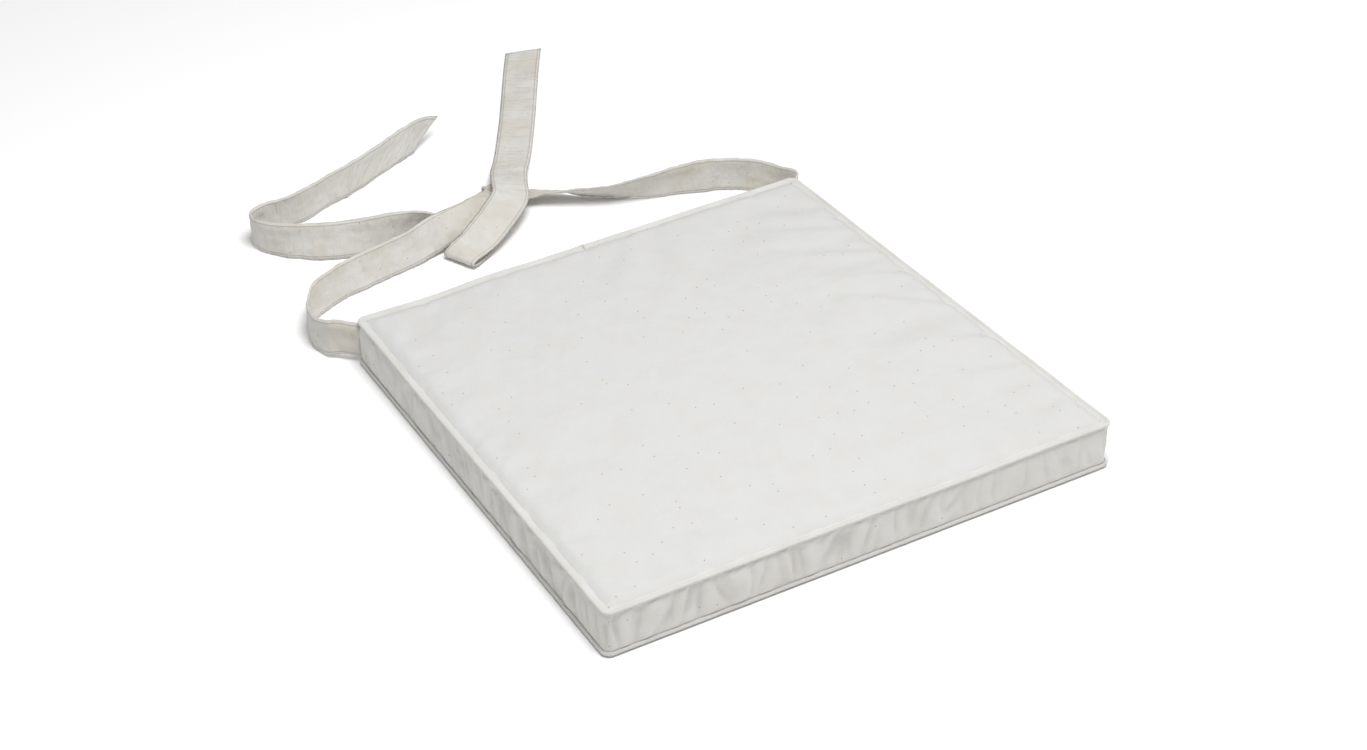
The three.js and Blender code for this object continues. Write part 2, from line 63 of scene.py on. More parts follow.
Colour = tuple[float, float, float]
Triple = tuple[float, float, float]
Station = tuple[Triple, Triple, float]
Route = tuple[Station, ...]
Place = Callable[[float, float], Vector]
Share = Callable[[float, float], float]


# ---------------------------------------------------------------- small sums


def smooth_step(low: float, high: float, x: float) -> float:
    """Return 0 below low, 1 above high, and an even rise between."""
    share = min(max((x - low) / (high - low), 0.0), 1.0)
    return share * share * (3 - 2 * share)


def hump(x: float, centre: float, reach: float) -> float:
    """Return 1 at the centre, falling smoothly to nothing about two reaches away."""
    return math.exp(-(((x - centre) / reach) ** 2))


def soft_limit(value: float, limit: float) -> float:
    """Return the value eased so that it never passes the limit."""
    return limit * math.tanh(value / limit)


def grain(x: float, y: float, size: float, seed: float) -> float:
    """Return smooth noise between about -1 and 1, its lumps about size across."""
    return noise.noise(Vector((x / size, y / size, seed)))


def find_span(table: Sequence[float], distance: float) -> int:
    """Return which span of a table of rising distances holds a distance."""
    return max(0, min(bisect_right(table, distance) - 1, len(table) - 2))


# ---------------------------------------------------------------- finishes


class Nodes:
    """A material's node tree, with short ways to add to it."""

    def __init__(self, name: str) -> None:
        """Start a material of that name with an empty tree."""
        self.material = bpy.data.materials.new(name)
        self.material.use_nodes = True
        self.tree = self.material.node_tree
        self.tree.nodes.clear()
        self.output = self.add("ShaderNodeOutputMaterial")
        self.shader = self.add("ShaderNodeBsdfPrincipled")
        self.join(self.shader.outputs["BSDF"], self.output.inputs["Surface"])

    def add(self, kind: str, **settings: object) -> bpy.types.Node:
        """Add a node and set its properties."""
        node = self.tree.nodes.new(kind)
        for key, value in settings.items():
            setattr(node, key, value)
        return node

    def join(self, source: bpy.types.NodeSocket, target: bpy.types.NodeSocket) -> None:
        """Link one socket to another."""
        self.tree.links.new(source, target)

    def feed(self, node: bpy.types.Node, key: str | int, value: object) -> None:
        """Link a socket to a node's input, or set the input to a plain value."""
        if isinstance(value, bpy.types.NodeSocket):
            self.join(value, node.inputs[key])
        else:
            node.inputs[key].default_value = value

    def math(self, operation: str, a: object, b: object = 0.0) -> bpy.types.NodeSocket:
        """Return the result of a sum on two values or sockets."""
        node = self.add("ShaderNodeMath", operation=operation)
        self.feed(node, 0, a)
        self.feed(node, 1, b)
        return node.outputs[0]

    def coordinates(self, uv_map: str | None) -> bpy.types.NodeSocket:
        """Return the piece's own UV map, in metres, or else its object coordinates."""
        if uv_map:
            return self.add("ShaderNodeUVMap", uv_map=uv_map).outputs["UV"]
        return self.add("ShaderNodeTexCoord").outputs["Object"]

    def noise(self, where: bpy.types.NodeSocket, scale: float, detail: float) -> bpy.types.NodeSocket:
        """Return noise with that many lumps to the metre."""
        node = self.add("ShaderNodeTexNoise")
        self.feed(node, "Vector", where)
        self.feed(node, "Scale", scale)
        self.feed(node, "Detail", detail)
        return node.outputs["Fac"]

    def threads(self, where: bpy.types.NodeSocket, axis: str, pitch: float) -> bpy.types.NodeSocket:
        """Return the height of parallel threads a pitch apart, a little uneven."""
        node = self.add("ShaderNodeTexWave", bands_direction=axis)
        self.feed(node, "Vector", where)
        self.feed(node, "Scale", TURN / 20 / pitch)
        self.feed(node, "Distortion", 1.1)
        self.feed(node, "Detail", 2.0)
        self.feed(node, "Detail Scale", 0.35)
        return node.outputs["Fac"]

    def ramp(
        self, value: bpy.types.NodeSocket, stops: Sequence[tuple[float, Colour]]
    ) -> bpy.types.NodeSocket:
        """Return a colour that follows the value through the stops."""
        node = self.add("ShaderNodeValToRGB")
        elements = node.color_ramp.elements
        while len(elements) < len(stops):
            elements.new(0.5)
        for element, (position, colour) in zip(elements, stops):
            element.position = position
            element.color = (*colour, 1.0)
        self.feed(node, "Fac", value)
        return node.outputs["Color"]

    def mix(self, share: object, a: object, b: object, how: str = "MIX") -> bpy.types.NodeSocket:
        """Return two colours mixed, or combined as named."""
        node = self.add("ShaderNodeMix", data_type="RGBA", blend_type=how)
        self.feed(node, 0, share)
        for index, value in ((6, a), (7, b)):
            self.feed(node, index, (*value, 1.0) if isinstance(value, tuple) else value)
        return node.outputs[2]

    def bump(
        self, height: bpy.types.NodeSocket, depth: float, strength: float, under: object = None
    ) -> bpy.types.NodeSocket:
        """Return a normal shaped by a height, on top of another normal if one is given."""
        node = self.add("ShaderNodeBump")
        self.feed(node, "Height", height)
        self.feed(node, "Distance", depth)
        self.feed(node, "Strength", strength)
        if under is not None:
            self.feed(node, "Normal", under)
        return node.outputs["Normal"]


@dataclass(frozen=True)
class CottonFinish:
    """Unbleached plain-weave cotton: threads, slubs, seed flecks and a faint unevenness."""

    name: str
    tint: Colour
    crumple: float
    # colour of the painted shade in seam grooves, pucker valleys and folds; on the ties it also stands
    # for real stain
    crease_shade_and_stain: Colour = (0.54, 0.49, 0.4)
    pitch: float = 0.55 * MM
    flecks: bool = True
    stain: float = 0.015
    wrinkle: float = 0.0
    uv_map: str | None = "cloth"
    # how strongly that painted crease shade, with stain on the ties, is mixed in
    crease_shade_and_stain_strength: float = 0.0
    hem: float = 0.0
    hem_shade: Colour = (0.3, 0.28, 0.24)
    strip_width: float = 30 * MM

    def build(self) -> bpy.types.Material:
        """Return the cotton material."""
        n = Nodes(self.name)
        where = n.coordinates(self.uv_map)
        across = n.threads(where, "X", self.pitch)
        along = n.threads(where, "Y", self.pitch)
        weave = n.math("MAXIMUM", across, along)
        clouds = n.noise(where, 40.0, 4.0)
        slubs = n.noise(where, 900.0, 1.0)
        warm = tuple(channel * share for channel, share in zip(self.tint, (1.0, 0.99, 0.965)))
        worn = tuple(channel * (1 - self.stain) for channel in warm)
        cloth = n.ramp(clouds, ((0.35, worn), (0.6, self.tint)))
        gaps = n.ramp(weave, ((0.0, (0.86, 0.85, 0.82)), (0.75, (1.0, 1.0, 1.0))))
        cloth = n.mix(0.55, cloth, gaps, "MULTIPLY")
        lumps = n.ramp(slubs, ((0.3, (0.8, 0.79, 0.76)), (0.7, (1.0, 1.0, 1.0))))
        cloth = n.mix(0.1, cloth, lumps, "MULTIPLY")
        if self.flecks:
            cloth = self.scatter_flecks(n, where, cloth)
        # painted shade: darken the cloth towards the crease colour where the piece's attribute marks a
        # groove, valley or fold (on the ties partly real stain)
        if self.crease_shade_and_stain_strength:
            fold = n.add("ShaderNodeAttribute", attribute_name="crease_shade_and_stain").outputs["Fac"]
            cloth = n.mix(n.math("MULTIPLY", fold, self.crease_shade_and_stain_strength), cloth, self.crease_shade_and_stain)
        if self.hem:
            sides = n.add("ShaderNodeSeparateXYZ")
            n.join(where, sides.inputs[0])
            from_edge = n.math("PINGPONG", sides.outputs["Y"], self.strip_width / 2)
            off = n.math("ABSOLUTE", n.math("SUBTRACT", from_edge, self.hem))
            line = n.math("LESS_THAN", off, 0.45 * MM)
            cloth = n.mix(n.math("MULTIPLY", line, 0.5), cloth, self.hem_shade)
        n.feed(n.shader, "Base Color", cloth)
        rough = n.math("MULTIPLY_ADD", weave, -0.08)
        rough.node.inputs[2].default_value = 0.95
        n.feed(n.shader, "Roughness", rough)
        n.feed(n.shader, "Specular IOR Level", 0.25)
        n.feed(n.shader, "Sheen Weight", 0.12)
        n.feed(n.shader, "Sheen Roughness", 0.45)
        crumples = n.bump(n.noise(where, 75.0, 5.0), 3.0 * MM, 0.4 * self.crumple)
        if self.wrinkle:
            lengthwise = n.add("ShaderNodeVectorMath", operation="MULTIPLY")
            n.feed(lengthwise, 0, where)
            lengthwise.inputs[1].default_value = (1.0, 0.3, 1.0)
            lines = n.noise(lengthwise.outputs[0], 190.0, 3.0)
            crumples = n.bump(lines, 1.6 * MM, self.wrinkle, crumples)
        n.feed(n.shader, "Normal", n.bump(weave, 0.08 * MM, 0.6, crumples))
        return n.material

    @staticmethod
    def scatter_flecks(
        n: Nodes, where: bpy.types.NodeSocket, cloth: bpy.types.NodeSocket
    ) -> bpy.types.NodeSocket:
        """Return the cloth's colour with a few specks of seed husk in it.

        Args:
            n: the material's nodes.
            where: the coordinates the specks are scattered on.
            cloth: the colour they lie in.

        Returns:
            The colour with the specks.
        """
        cells = n.add("ShaderNodeTexVoronoi", voronoi_dimensions="2D")
        n.feed(cells, "Vector", where)
        n.feed(cells, "Scale", 70.0)
        near = n.math("LESS_THAN", cells.outputs["Distance"], 0.042)
        pick = n.add("ShaderNodeSeparateColor")
        n.join(cells.outputs["Color"], pick.inputs[0])
        chosen = n.math("GREATER_THAN", pick.outputs[0], 0.78)
        share = n.math("MULTIPLY", near, chosen)
        return n.mix(n.math("MULTIPLY", share, 0.6), cloth, (0.2, 0.15, 0.09))


class Grain(Enum):
    """The patterns that a plain finish can carry."""

    TWIST = "DIAGONAL"
    RIBS = "X"
    SPECKLE = "speckle"
    PORES = "pores"


@dataclass(frozen=True)
class PlainFinish:
    """A finish of one colour, darker and lower where its grain is."""

    name: str
    tint: Colour
    grain: Grain
    size: float
    dark: float
    rough: float
    depth: float
    strength: float
    detail: float = 2.0
    sheen: float = 0.0
    metallic: float = 0.0
    rough_spread: float = 0.0
    uv_map: str | None = None

    def pattern(self, n: Nodes) -> bpy.types.NodeSocket:
        """Return the grain's height."""
        where = n.coordinates(self.uv_map)
        if self.grain in (Grain.TWIST, Grain.RIBS):
            return n.threads(where, self.grain.value, self.size)
        if self.grain is Grain.SPECKLE:
            return n.noise(where, self.size, self.detail)
        cells = n.add("ShaderNodeTexVoronoi")
        n.feed(cells, "Vector", where)
        n.feed(cells, "Scale", self.size)
        return cells.outputs["Distance"]

    def build(self) -> bpy.types.Material:
        """Return the material."""
        n = Nodes(self.name)
        height = self.pattern(n)
        deep = tuple(self.dark * c for c in self.tint)
        if self.grain is Grain.PORES:
            n.feed(n.shader, "Base Color", n.ramp(height, ((0.0, deep), (0.5, self.tint))))
        else:
            n.feed(n.shader, "Base Color", n.mix(height, deep, self.tint))
        rough = self.rough
        if self.rough_spread:
            rough = n.math("MULTIPLY_ADD", height, self.rough_spread)
            rough.node.inputs[2].default_value = self.rough
        n.feed(n.shader, "Roughness", rough)
        n.feed(n.shader, "Sheen Weight", self.sheen)
        n.feed(n.shader, "Metallic", self.metallic)
        n.feed(n.shader, "Normal", n.bump(height, self.depth, self.strength))
        return n.material


@dataclass(frozen=True)
class FloorFinish:
    """Plain white table."""

    name: str = "studio_floor"
    tint: Colour = (0.93, 0.93, 0.93)

    def build(self) -> bpy.types.Material:
        """Return the floor material."""
        n = Nodes(self.name)
        n.feed(n.shader, "Base Color", (*self.tint, 1.0))
        n.feed(n.shader, "Roughness", 0.9)
        n.feed(n.shader, "Specular IOR Level", 0.1)
        return n.material


@dataclass
class Wardrobe:
    """Every material, built once and shared."""

    made: dict[str, bpy.types.Material] = field(default_factory=dict)

    def dress(self, piece: bpy.types.Object, finish: object) -> None:
        """Give a piece one finish in place of any that it had."""
        if finish.name not in self.made:
            self.made[finish.name] = finish.build()
        piece.data.materials.clear()
        piece.data.materials.append(self.made[finish.name])


# the panel's crease colour paints the shade in the groove along its seam
PANEL_COTTON = CottonFinish(
    "cotton_panel", tint=(0.562, 0.563, 0.558), crease_shade_and_stain=(0.3, 0.29, 0.27), crease_shade_and_stain_strength=0.4, crumple=0.8
)
BAND_COTTON = CottonFinish(
    "cotton_band",
    # tint set lighter than the panel's for the same cotton: painted light that brightens the upright
    # band
    tint=(0.645, 0.636, 0.614),
    # crease colour: painted shade in the pucker valleys
    crease_shade_and_stain=(0.4, 0.39, 0.365),
    stain=0.04,
    crease_shade_and_stain_strength=0.36,
    crumple=1.2,
)
# tint kept a little dark to offset the light on the piping's rounded top: painted shade on the same
# cotton
PIPING_COTTON = CottonFinish(
    "cotton_piping", tint=(0.585, 0.579, 0.56), crumple=0.8, stain=0.06, flecks=False
)
TIE_COTTON = CottonFinish(
    "tie_cotton",
    tint=(0.605, 0.595, 0.57),
    # painted shade in the folds, mixed with real stain, towards the beige crease colour
    crease_shade_and_stain_strength=0.6,
    crumple=1.6,
    stain=0.08,
    wrinkle=1.0,
    hem=2.6 * MM,
)


SEWING_THREAD = PlainFinish(
    "sewing_thread",
    tint=(0.72, 0.7, 0.65),
    grain=Grain.TWIST,
    size=0.3 * MM,
    dark=0.88,
    rough=0.6,
    depth=0.05 * MM,
    strength=0.5,
    sheen=0.2,
)
FILLER_CORD = PlainFinish(
    "filler_cord",
    tint=(0.86, 0.84, 0.79),
    grain=Grain.SPECKLE,
    size=1400.0,
    dark=0.85,
    rough=0.95,
    depth=0.1 * MM,
    strength=0.6,
    uv_map="cloth",
)
SEAT_FOAM = PlainFinish(
    "seat_foam",
    tint=(0.84, 0.78, 0.52),
    grain=Grain.PORES,
    size=900.0,
    dark=0.6,
    rough=1.0,
    depth=0.4 * MM,
    strength=0.8,
)
ZIP_TAPE = PlainFinish(
    "zip_tape",
    tint=(0.7, 0.67, 0.6),
    grain=Grain.RIBS,
    size=0.8 * MM,
    dark=0.82,
    rough=0.85,
    depth=0.12 * MM,
    strength=0.8,
)
ZIP_NYLON = PlainFinish(
    "zip_nylon",
    tint=(0.8, 0.78, 0.71),
    grain=Grain.SPECKLE,
    size=400.0,
    dark=0.93,
    rough=0.38,
    depth=0.03 * MM,
    strength=0.4,
)
ZIP_METAL = PlainFinish(
    "zip_metal",
    tint=(0.62, 0.61, 0.6),
    grain=Grain.SPECKLE,
    size=1200.0,
    dark=0.8,
    rough=0.2,
    depth=0.03 * MM,
    strength=0.5,
    detail=4.0,
    metallic=1.0,
    rough_spread=0.3,
)


# ---------------------------------------------------------------- meshes


@dataclass
class Laid:
    """A piece made of a grid, with where each of its vertices lies in the grid."""

    piece: bpy.types.Object
    spots: list[tuple[float, float]]


def new_piece(name: str, bm: bmesh.types.BMesh) -> bpy.types.Object:
    """Return an object at the origin that holds the mesh, smooth shaded."""
    mesh = bpy.data.meshes.new(name)
    bm.to_mesh(mesh)
    bm.free()
    mesh.shade_smooth()
    piece = bpy.data.objects.new(name, mesh)
    bpy.context.scene.collection.objects.link(piece)
    return piece


def lay_grid(name: str, size: tuple[float, float], steps: tuple[int, int], place: Place) -> Laid:
    """Lay a grid of cloth where the place function says.

    Args:
        name: the piece's name.
        size: the grid's length and width, in metres of cloth.
        steps: how many faces along and across.
        place: gives a point from metres along and across.

    Returns:
        The piece, with a UV map in metres, and each vertex's spot on the grid.
    """
    bm = bmesh.new()
    uv_layer = bm.loops.layers.uv.new("cloth")
    bmesh.ops.create_grid(bm, x_segments=steps[0], y_segments=steps[1], size=0.5, calc_uvs=False)
    bm.verts.index_update()
    spots = [((v.co.x + 0.5) * size[0], (v.co.y + 0.5) * size[1]) for v in bm.verts]
    for face in bm.faces:
        for loop in face.loops:
            loop[uv_layer].uv = spots[loop.vert.index]
    for vert, (u, v) in zip(bm.verts, spots):
        vert.co = place(u, v)
    return Laid(new_piece(name, bm), spots)


def mark_crease_shade_and_stain(piece: bpy.types.Object, shares: Sequence[float]) -> None:
    """Store each vertex's share of painted crease shade, and of stain on the ties, for the finish to
    follow.
    """
    layer = piece.data.attributes.new("crease_shade_and_stain", "FLOAT", "POINT")
    layer.data.foreach_set("value", shares)


def close_tube(piece: bpy.types.Object) -> None:
    """Weld a rolled grid along its seam and at its pinched ends, with faces outwards."""
    bm = bmesh.new()
    bm.from_mesh(piece.data)
    bmesh.ops.remove_doubles(bm, verts=bm.verts, dist=0.02 * MM)
    bmesh.ops.dissolve_degenerate(bm, edges=bm.edges, dist=0.001 * MM)
    bmesh.ops.recalc_face_normals(bm, faces=bm.faces)
    bm.to_mesh(piece.data)
    bm.free()
    piece.data.shade_smooth()


def face_outwards(piece: bpy.types.Object, outward: Callable[[Vector], Vector]) -> None:
    """Turn an open sheet over if its faces look the wrong way."""
    total = sum(p.normal.dot(outward(p.center)) * p.area for p in piece.data.polygons)
    if total < 0:
        piece.data.flip_normals()


def thicken(piece: bpy.types.Object, thickness: float, smoothed: bool = True) -> None:
    """Smooth a sheet once if asked and give it its cloth's thickness, inwards."""
    if smoothed:
        smooth = piece.modifiers.new("smooth", "SUBSURF")
        smooth.levels = 1
        smooth.render_levels = 1
    wall = piece.modifiers.new("cloth", "SOLIDIFY")
    wall.thickness = thickness
    wall.offset = -1.0


def sew(name: str, line: Sequence[tuple[Vector, Vector, Vector]], size: Triple) -> bpy.types.Object:
    """Make a row of stitches.

    Args:
        name: the piece's name.
        line: each stitch's middle, its direction and the way it faces.
        size: a stitch's length, width and height.

    Returns:
        One piece that holds all the stitches.
    """
    bm = bmesh.new()
    bmesh.ops.create_uvsphere(bm, u_segments=6, v_segments=4, radius=0.5)
    shape = [vert.co.copy() for vert in bm.verts]
    corner = bm.verts.layers.int.new("corner")
    turn = bm.verts.layers.int.new("turn")
    for number, vert in enumerate(bm.verts):
        vert[corner] = number
    made = 1
    while made < len(line):
        copied = bmesh.ops.duplicate(bm, geom=[*bm.verts, *bm.edges, *bm.faces])["geom"]
        for part in copied:
            if isinstance(part, bmesh.types.BMVert):
                part[turn] += made
        made *= 2
    bmesh.ops.delete(bm, geom=[v for v in bm.verts if v[turn] >= len(line)], context="VERTS")
    places = []
    for middle, along, up in line:
        side = up.cross(along).normalized()
        turned = Matrix((along.normalized(), side, along.cross(side).normalized())).transposed()
        places.append(Matrix.Translation(middle) @ turned.to_4x4() @ Matrix.Diagonal((*size, 1.0)))
    for vert in bm.verts:
        vert.co = places[vert[turn]] @ shape[vert[corner]]
    return new_piece(name, bm)


def rounded_copy(node: str, name: str, radius: float) -> bpy.types.Object:
    """Return a copy of a CAD part with its edges rounded."""
    bm = bmesh.new()
    bm.from_mesh(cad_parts[node].data)
    bmesh.ops.remove_doubles(bm, verts=bm.verts, dist=0.001 * MM)
    bmesh.ops.dissolve_limit(bm, angle_limit=math.radians(2), verts=bm.verts, edges=bm.edges)
    sharp = [e for e in bm.edges if e.is_manifold and e.calc_face_angle() > math.radians(30)]
    bmesh.ops.bevel(
        bm,
        geom=sharp,
        offset=radius,
        offset_type="OFFSET",
        affect="EDGES",
        segments=3,
        profile=0.5,
        material=-1,
        clamp_overlap=True,
    )
    return new_piece(name, bm)


@dataclass(frozen=True)
class ClothRun:
    """One cloth simulation, run on an enlarged copy and brought back with a limit."""

    frames: int
    bending: float
    tension: float = 12.0
    most_ease: float = 0.08
    enlarge: float = 10.0

    def settle(
        self,
        laid: Laid,
        ease: Share,
        held: Callable[[float, float], bool],
        limit: tuple[float, float],
        outward: Callable[[Vector], Vector],
    ) -> None:
        """Let a piece of cloth buckle between the seams that hold it.

        Args:
            laid: the piece, which starts where it is sewn.
            ease: how much larger than its place the cut cloth is at each spot.
            held: whether a spot is held in a seam.
            limit: how far a spot may move outwards and inwards.
            outward: the way the surface faces at a point.
        """
        start = [v.co.copy() for v in laid.piece.data.vertices]
        mesh = laid.piece.data.copy()
        sample = bpy.data.objects.new(f"{laid.piece.name}_run", mesh)
        bpy.context.scene.collection.objects.link(sample)
        for vert, co in zip(mesh.vertices, start):
            vert.co = co * self.enlarge
        seam = sample.vertex_groups.new(name="seam")
        seam.add([i for i, (u, v) in enumerate(laid.spots) if held(u, v)], 1.0, "REPLACE")
        eased = sample.vertex_groups.new(name="no_ease")
        for index, (u, v) in enumerate(laid.spots):
            eased.add([index], 1 - min(max(ease(u, v) / self.most_ease, 0.0), 1.0), "REPLACE")
        cloth = sample.modifiers.new("cloth", "CLOTH")
        settings = cloth.settings
        settings.quality = 6
        settings.mass = 0.2
        settings.air_damping = 2.0
        settings.tension_stiffness = self.tension
        settings.compression_stiffness = self.tension
        settings.shear_stiffness = self.tension / 2
        settings.bending_stiffness = self.bending
        settings.vertex_group_mass = "seam"
        settings.vertex_group_shrink = "no_ease"
        settings.shrink_min = -self.most_ease
        settings.shrink_max = 0.0
        settings.effector_weights.gravity = 0.0
        cloth.collision_settings.use_collision = False
        cloth.point_cache.frame_start = 1
        cloth.point_cache.frame_end = self.frames
        for number in range(1, self.frames + 1):
            bpy.context.scene.frame_set(number)
        settled = sample.evaluated_get(bpy.context.evaluated_depsgraph_get()).data
        moved = [v.co / self.enlarge for v in settled.vertices]
        for vert, old, new in zip(laid.piece.data.vertices, start, moved):
            way = outward(old)
            out = (new - old).dot(way)
            vert.co = old + way * soft_limit(out, limit[0] if out > 0 else limit[1])
        bpy.data.objects.remove(sample)
        bpy.context.scene.frame_set(1)


# ---------------------------------------------------------------- camera and studio


@dataclass
class Studio:
    """Camera, lights and table."""

    azimuth: float = -31.17
    elevation: float = 35.2
    distance: float = 2.568
    lens: float = 90.35
    target: Vector = field(default_factory=lambda: Vector((0.0062, 0.0576, 0.0)))

    def place_camera(self) -> None:
        """Put the camera on its sight line, level, at its distance."""
        a, e = math.radians(self.azimuth), math.radians(self.elevation)
        back = Vector((math.sin(a) * math.cos(e), -math.cos(a) * math.cos(e), math.sin(e)))
        data = bpy.data.cameras.new("camera")
        data.lens = self.lens
        data.sensor_width = 36.0
        camera = bpy.data.objects.new("camera", data)
        camera.location = self.target + back * self.distance
        camera.rotation_euler = (-back).to_track_quat("-Z", "Y").to_euler()
        bpy.context.scene.collection.objects.link(camera)
        bpy.context.scene.camera = camera

    def add_light(self, name: str, at: Triple, towards: Triple, width: float, power: float) -> None:
        """Add a soft square light.

        Args:
            name: the light's name.
            at: where it stands.
            towards: the point that it faces.
            width: its side.
            power: its strength in watts.
        """
        data = bpy.data.lights.new(name, "AREA")
        data.size = width
        data.energy = power
        lamp = bpy.data.objects.new(name, data)
        lamp.location = at
        facing = Vector(towards) - Vector(at)
        lamp.rotation_euler = facing.to_track_quat("-Z", "Y").to_euler()
        bpy.context.scene.collection.objects.link(lamp)

    def light(self) -> None:
        """Add the lights and the even white surround."""
        self.add_light("overhead", (-0.1, -0.35, 1.65), (0.0, 0.1, 0.0), 0.7, 27.0)
        self.add_light("side", (1.6, -0.6, 0.7), (0.0, 0.0, 0.0), 0.4, 5.0)
        world = bpy.data.worlds.new("surround")
        world.use_nodes = True
        backdrop = world.node_tree.nodes["Background"]
        backdrop.inputs["Color"].default_value = (1.0, 1.0, 1.0, 1.0)
        backdrop.inputs["Strength"].default_value = 0.46
        scene = bpy.context.scene
        scene.world = world
        scene.view_settings.view_transform = "Standard"

    def lay_table(self, wardrobe: Wardrobe) -> None:
        """Lay the plain white table that everything stands on."""
        bm = bmesh.new()
        bmesh.ops.create_grid(bm, x_segments=1, y_segments=1, size=6.0)
        table = new_piece("table", bm)
        wardrobe.dress(table, FloorFinish())


# ---------------------------------------------------------------- the pad's outline


@dataclass
class Outline:
    """The pad seen from above: a trapezoid with round corners.

    Distances round it start at the rear-left corner seam and run down the left side, along
    the front, up the right side to the rear-right corner seam, and back along the rear.
    """

    rear_width: float = 0.390
    front_width: float = 0.422
    depth: float = 0.400
    radius: float = 0.007
    corner_steps: int = 16

    def __post_init__(self) -> None:
        """Work out the line's points, the way each faces, and the distances between them."""
        self.points: list[Vector] = []
        self.normals: list[Vector] = []
        corners = self.corners()
        for index, corner in enumerate(corners):
            back = (corners[index - 1] - corner).normalized()
            ahead = (corners[(index + 1) % 4] - corner).normalized()
            half = back.angle(ahead) / 2
            centre = corner + (back + ahead).normalized() * self.radius / math.sin(half)
            start = math.atan2(back.x, -back.y)
            turn = math.pi - 2 * half
            for step in range(self.corner_steps + 1):
                angle = start + turn * step / self.corner_steps
                arm = Vector((math.cos(angle), math.sin(angle), 0.0))
                self.points.append(centre + arm * self.radius)
                self.normals.append(arm)
        seam = self.corner_steps // 2
        self.points = self.points[seam:] + self.points[: seam + 1]
        self.normals = self.normals[seam:] + self.normals[: seam + 1]
        self.distances = [0.0]
        for here, there in zip(self.points, self.points[1:]):
            self.distances.append(self.distances[-1] + (there - here).length)
        self.length = self.distances[-1]
        self.right_seam = self.distances[3 * (self.corner_steps + 1)]

    def corners(self) -> list[Vector]:
        """Return the four sharp corners, anticlockwise from the rear left."""
        rear, front, half = self.rear_width / 2, self.front_width / 2, self.depth / 2
        plan = ((-rear, half), (-front, -half), (front, -half), (rear, half))
        return [Vector((x, y, 0.0)) for x, y in plan]

    def at(self, distance: float) -> tuple[Vector, Vector]:
        """Return the point at a distance round the outline, and the way it faces."""
        distance %= self.length
        low = find_span(self.distances, distance)
        high = low + 1
        share = (distance - self.distances[low]) / (self.distances[high] - self.distances[low])
        point = self.points[low].lerp(self.points[high], share)
        return point, self.normals[low].lerp(self.normals[high], share).normalized()

    def place(self, distance: float, inset: float, z: float) -> Vector:
        """Return the point that far round, moved in from the outline, at that height."""
        point, normal = self.at(distance)
        return point - normal * inset + Vector((0.0, 0.0, z))

    def half_width(self, y: float) -> float:
        """Return half the pad's width at a place between front and rear."""
        towards_front = 0.5 - y / self.depth
        return (self.rear_width + (self.front_width - self.rear_width) * towards_front) / 2

    def from_edge(self, x: float, y: float) -> float:
        """Return about how far inside the outline a point lies."""
        taper = math.cos(math.atan2(self.front_width - self.rear_width, 2 * self.depth))
        sides = (self.half_width(y) - abs(x)) * taper
        ends = self.depth / 2 - abs(y)
        if sides < self.radius and ends < self.radius:
            return self.radius - math.hypot(self.radius - sides, self.radius - ends)
        return min(sides, ends)

    def round_off(self, point: Vector, inset: float) -> Vector:
        """Draw a point near a corner in to the rounded line at that inset."""
        short = inset - self.from_edge(point.x, point.y)
        if short <= 0:
            return point
        corner = min(self.corners(), key=lambda c: (c - point).length)
        return point + Vector((-corner.x, -corner.y, 0.0)).normalized() * short


def seat_lift(x: float, y: float) -> float:
    """Return how far the sewn edge wanders up or down at a place on the plan."""
    wander = 0.8 * MM * grain(x, y, 0.075, 3.1)
    rear = smooth_step(0.15, 0.2, y)
    sag = -1.1 * MM * hump(x, -0.135, 0.03) + 0.7 * MM * hump(x, -0.078, 0.022)
    return wander + rear * sag


# ---------------------------------------------------------------- cover panels


class Face(Enum):
    """The cover's two large panels."""

    TOP = "top"
    BOTTOM = "bottom"


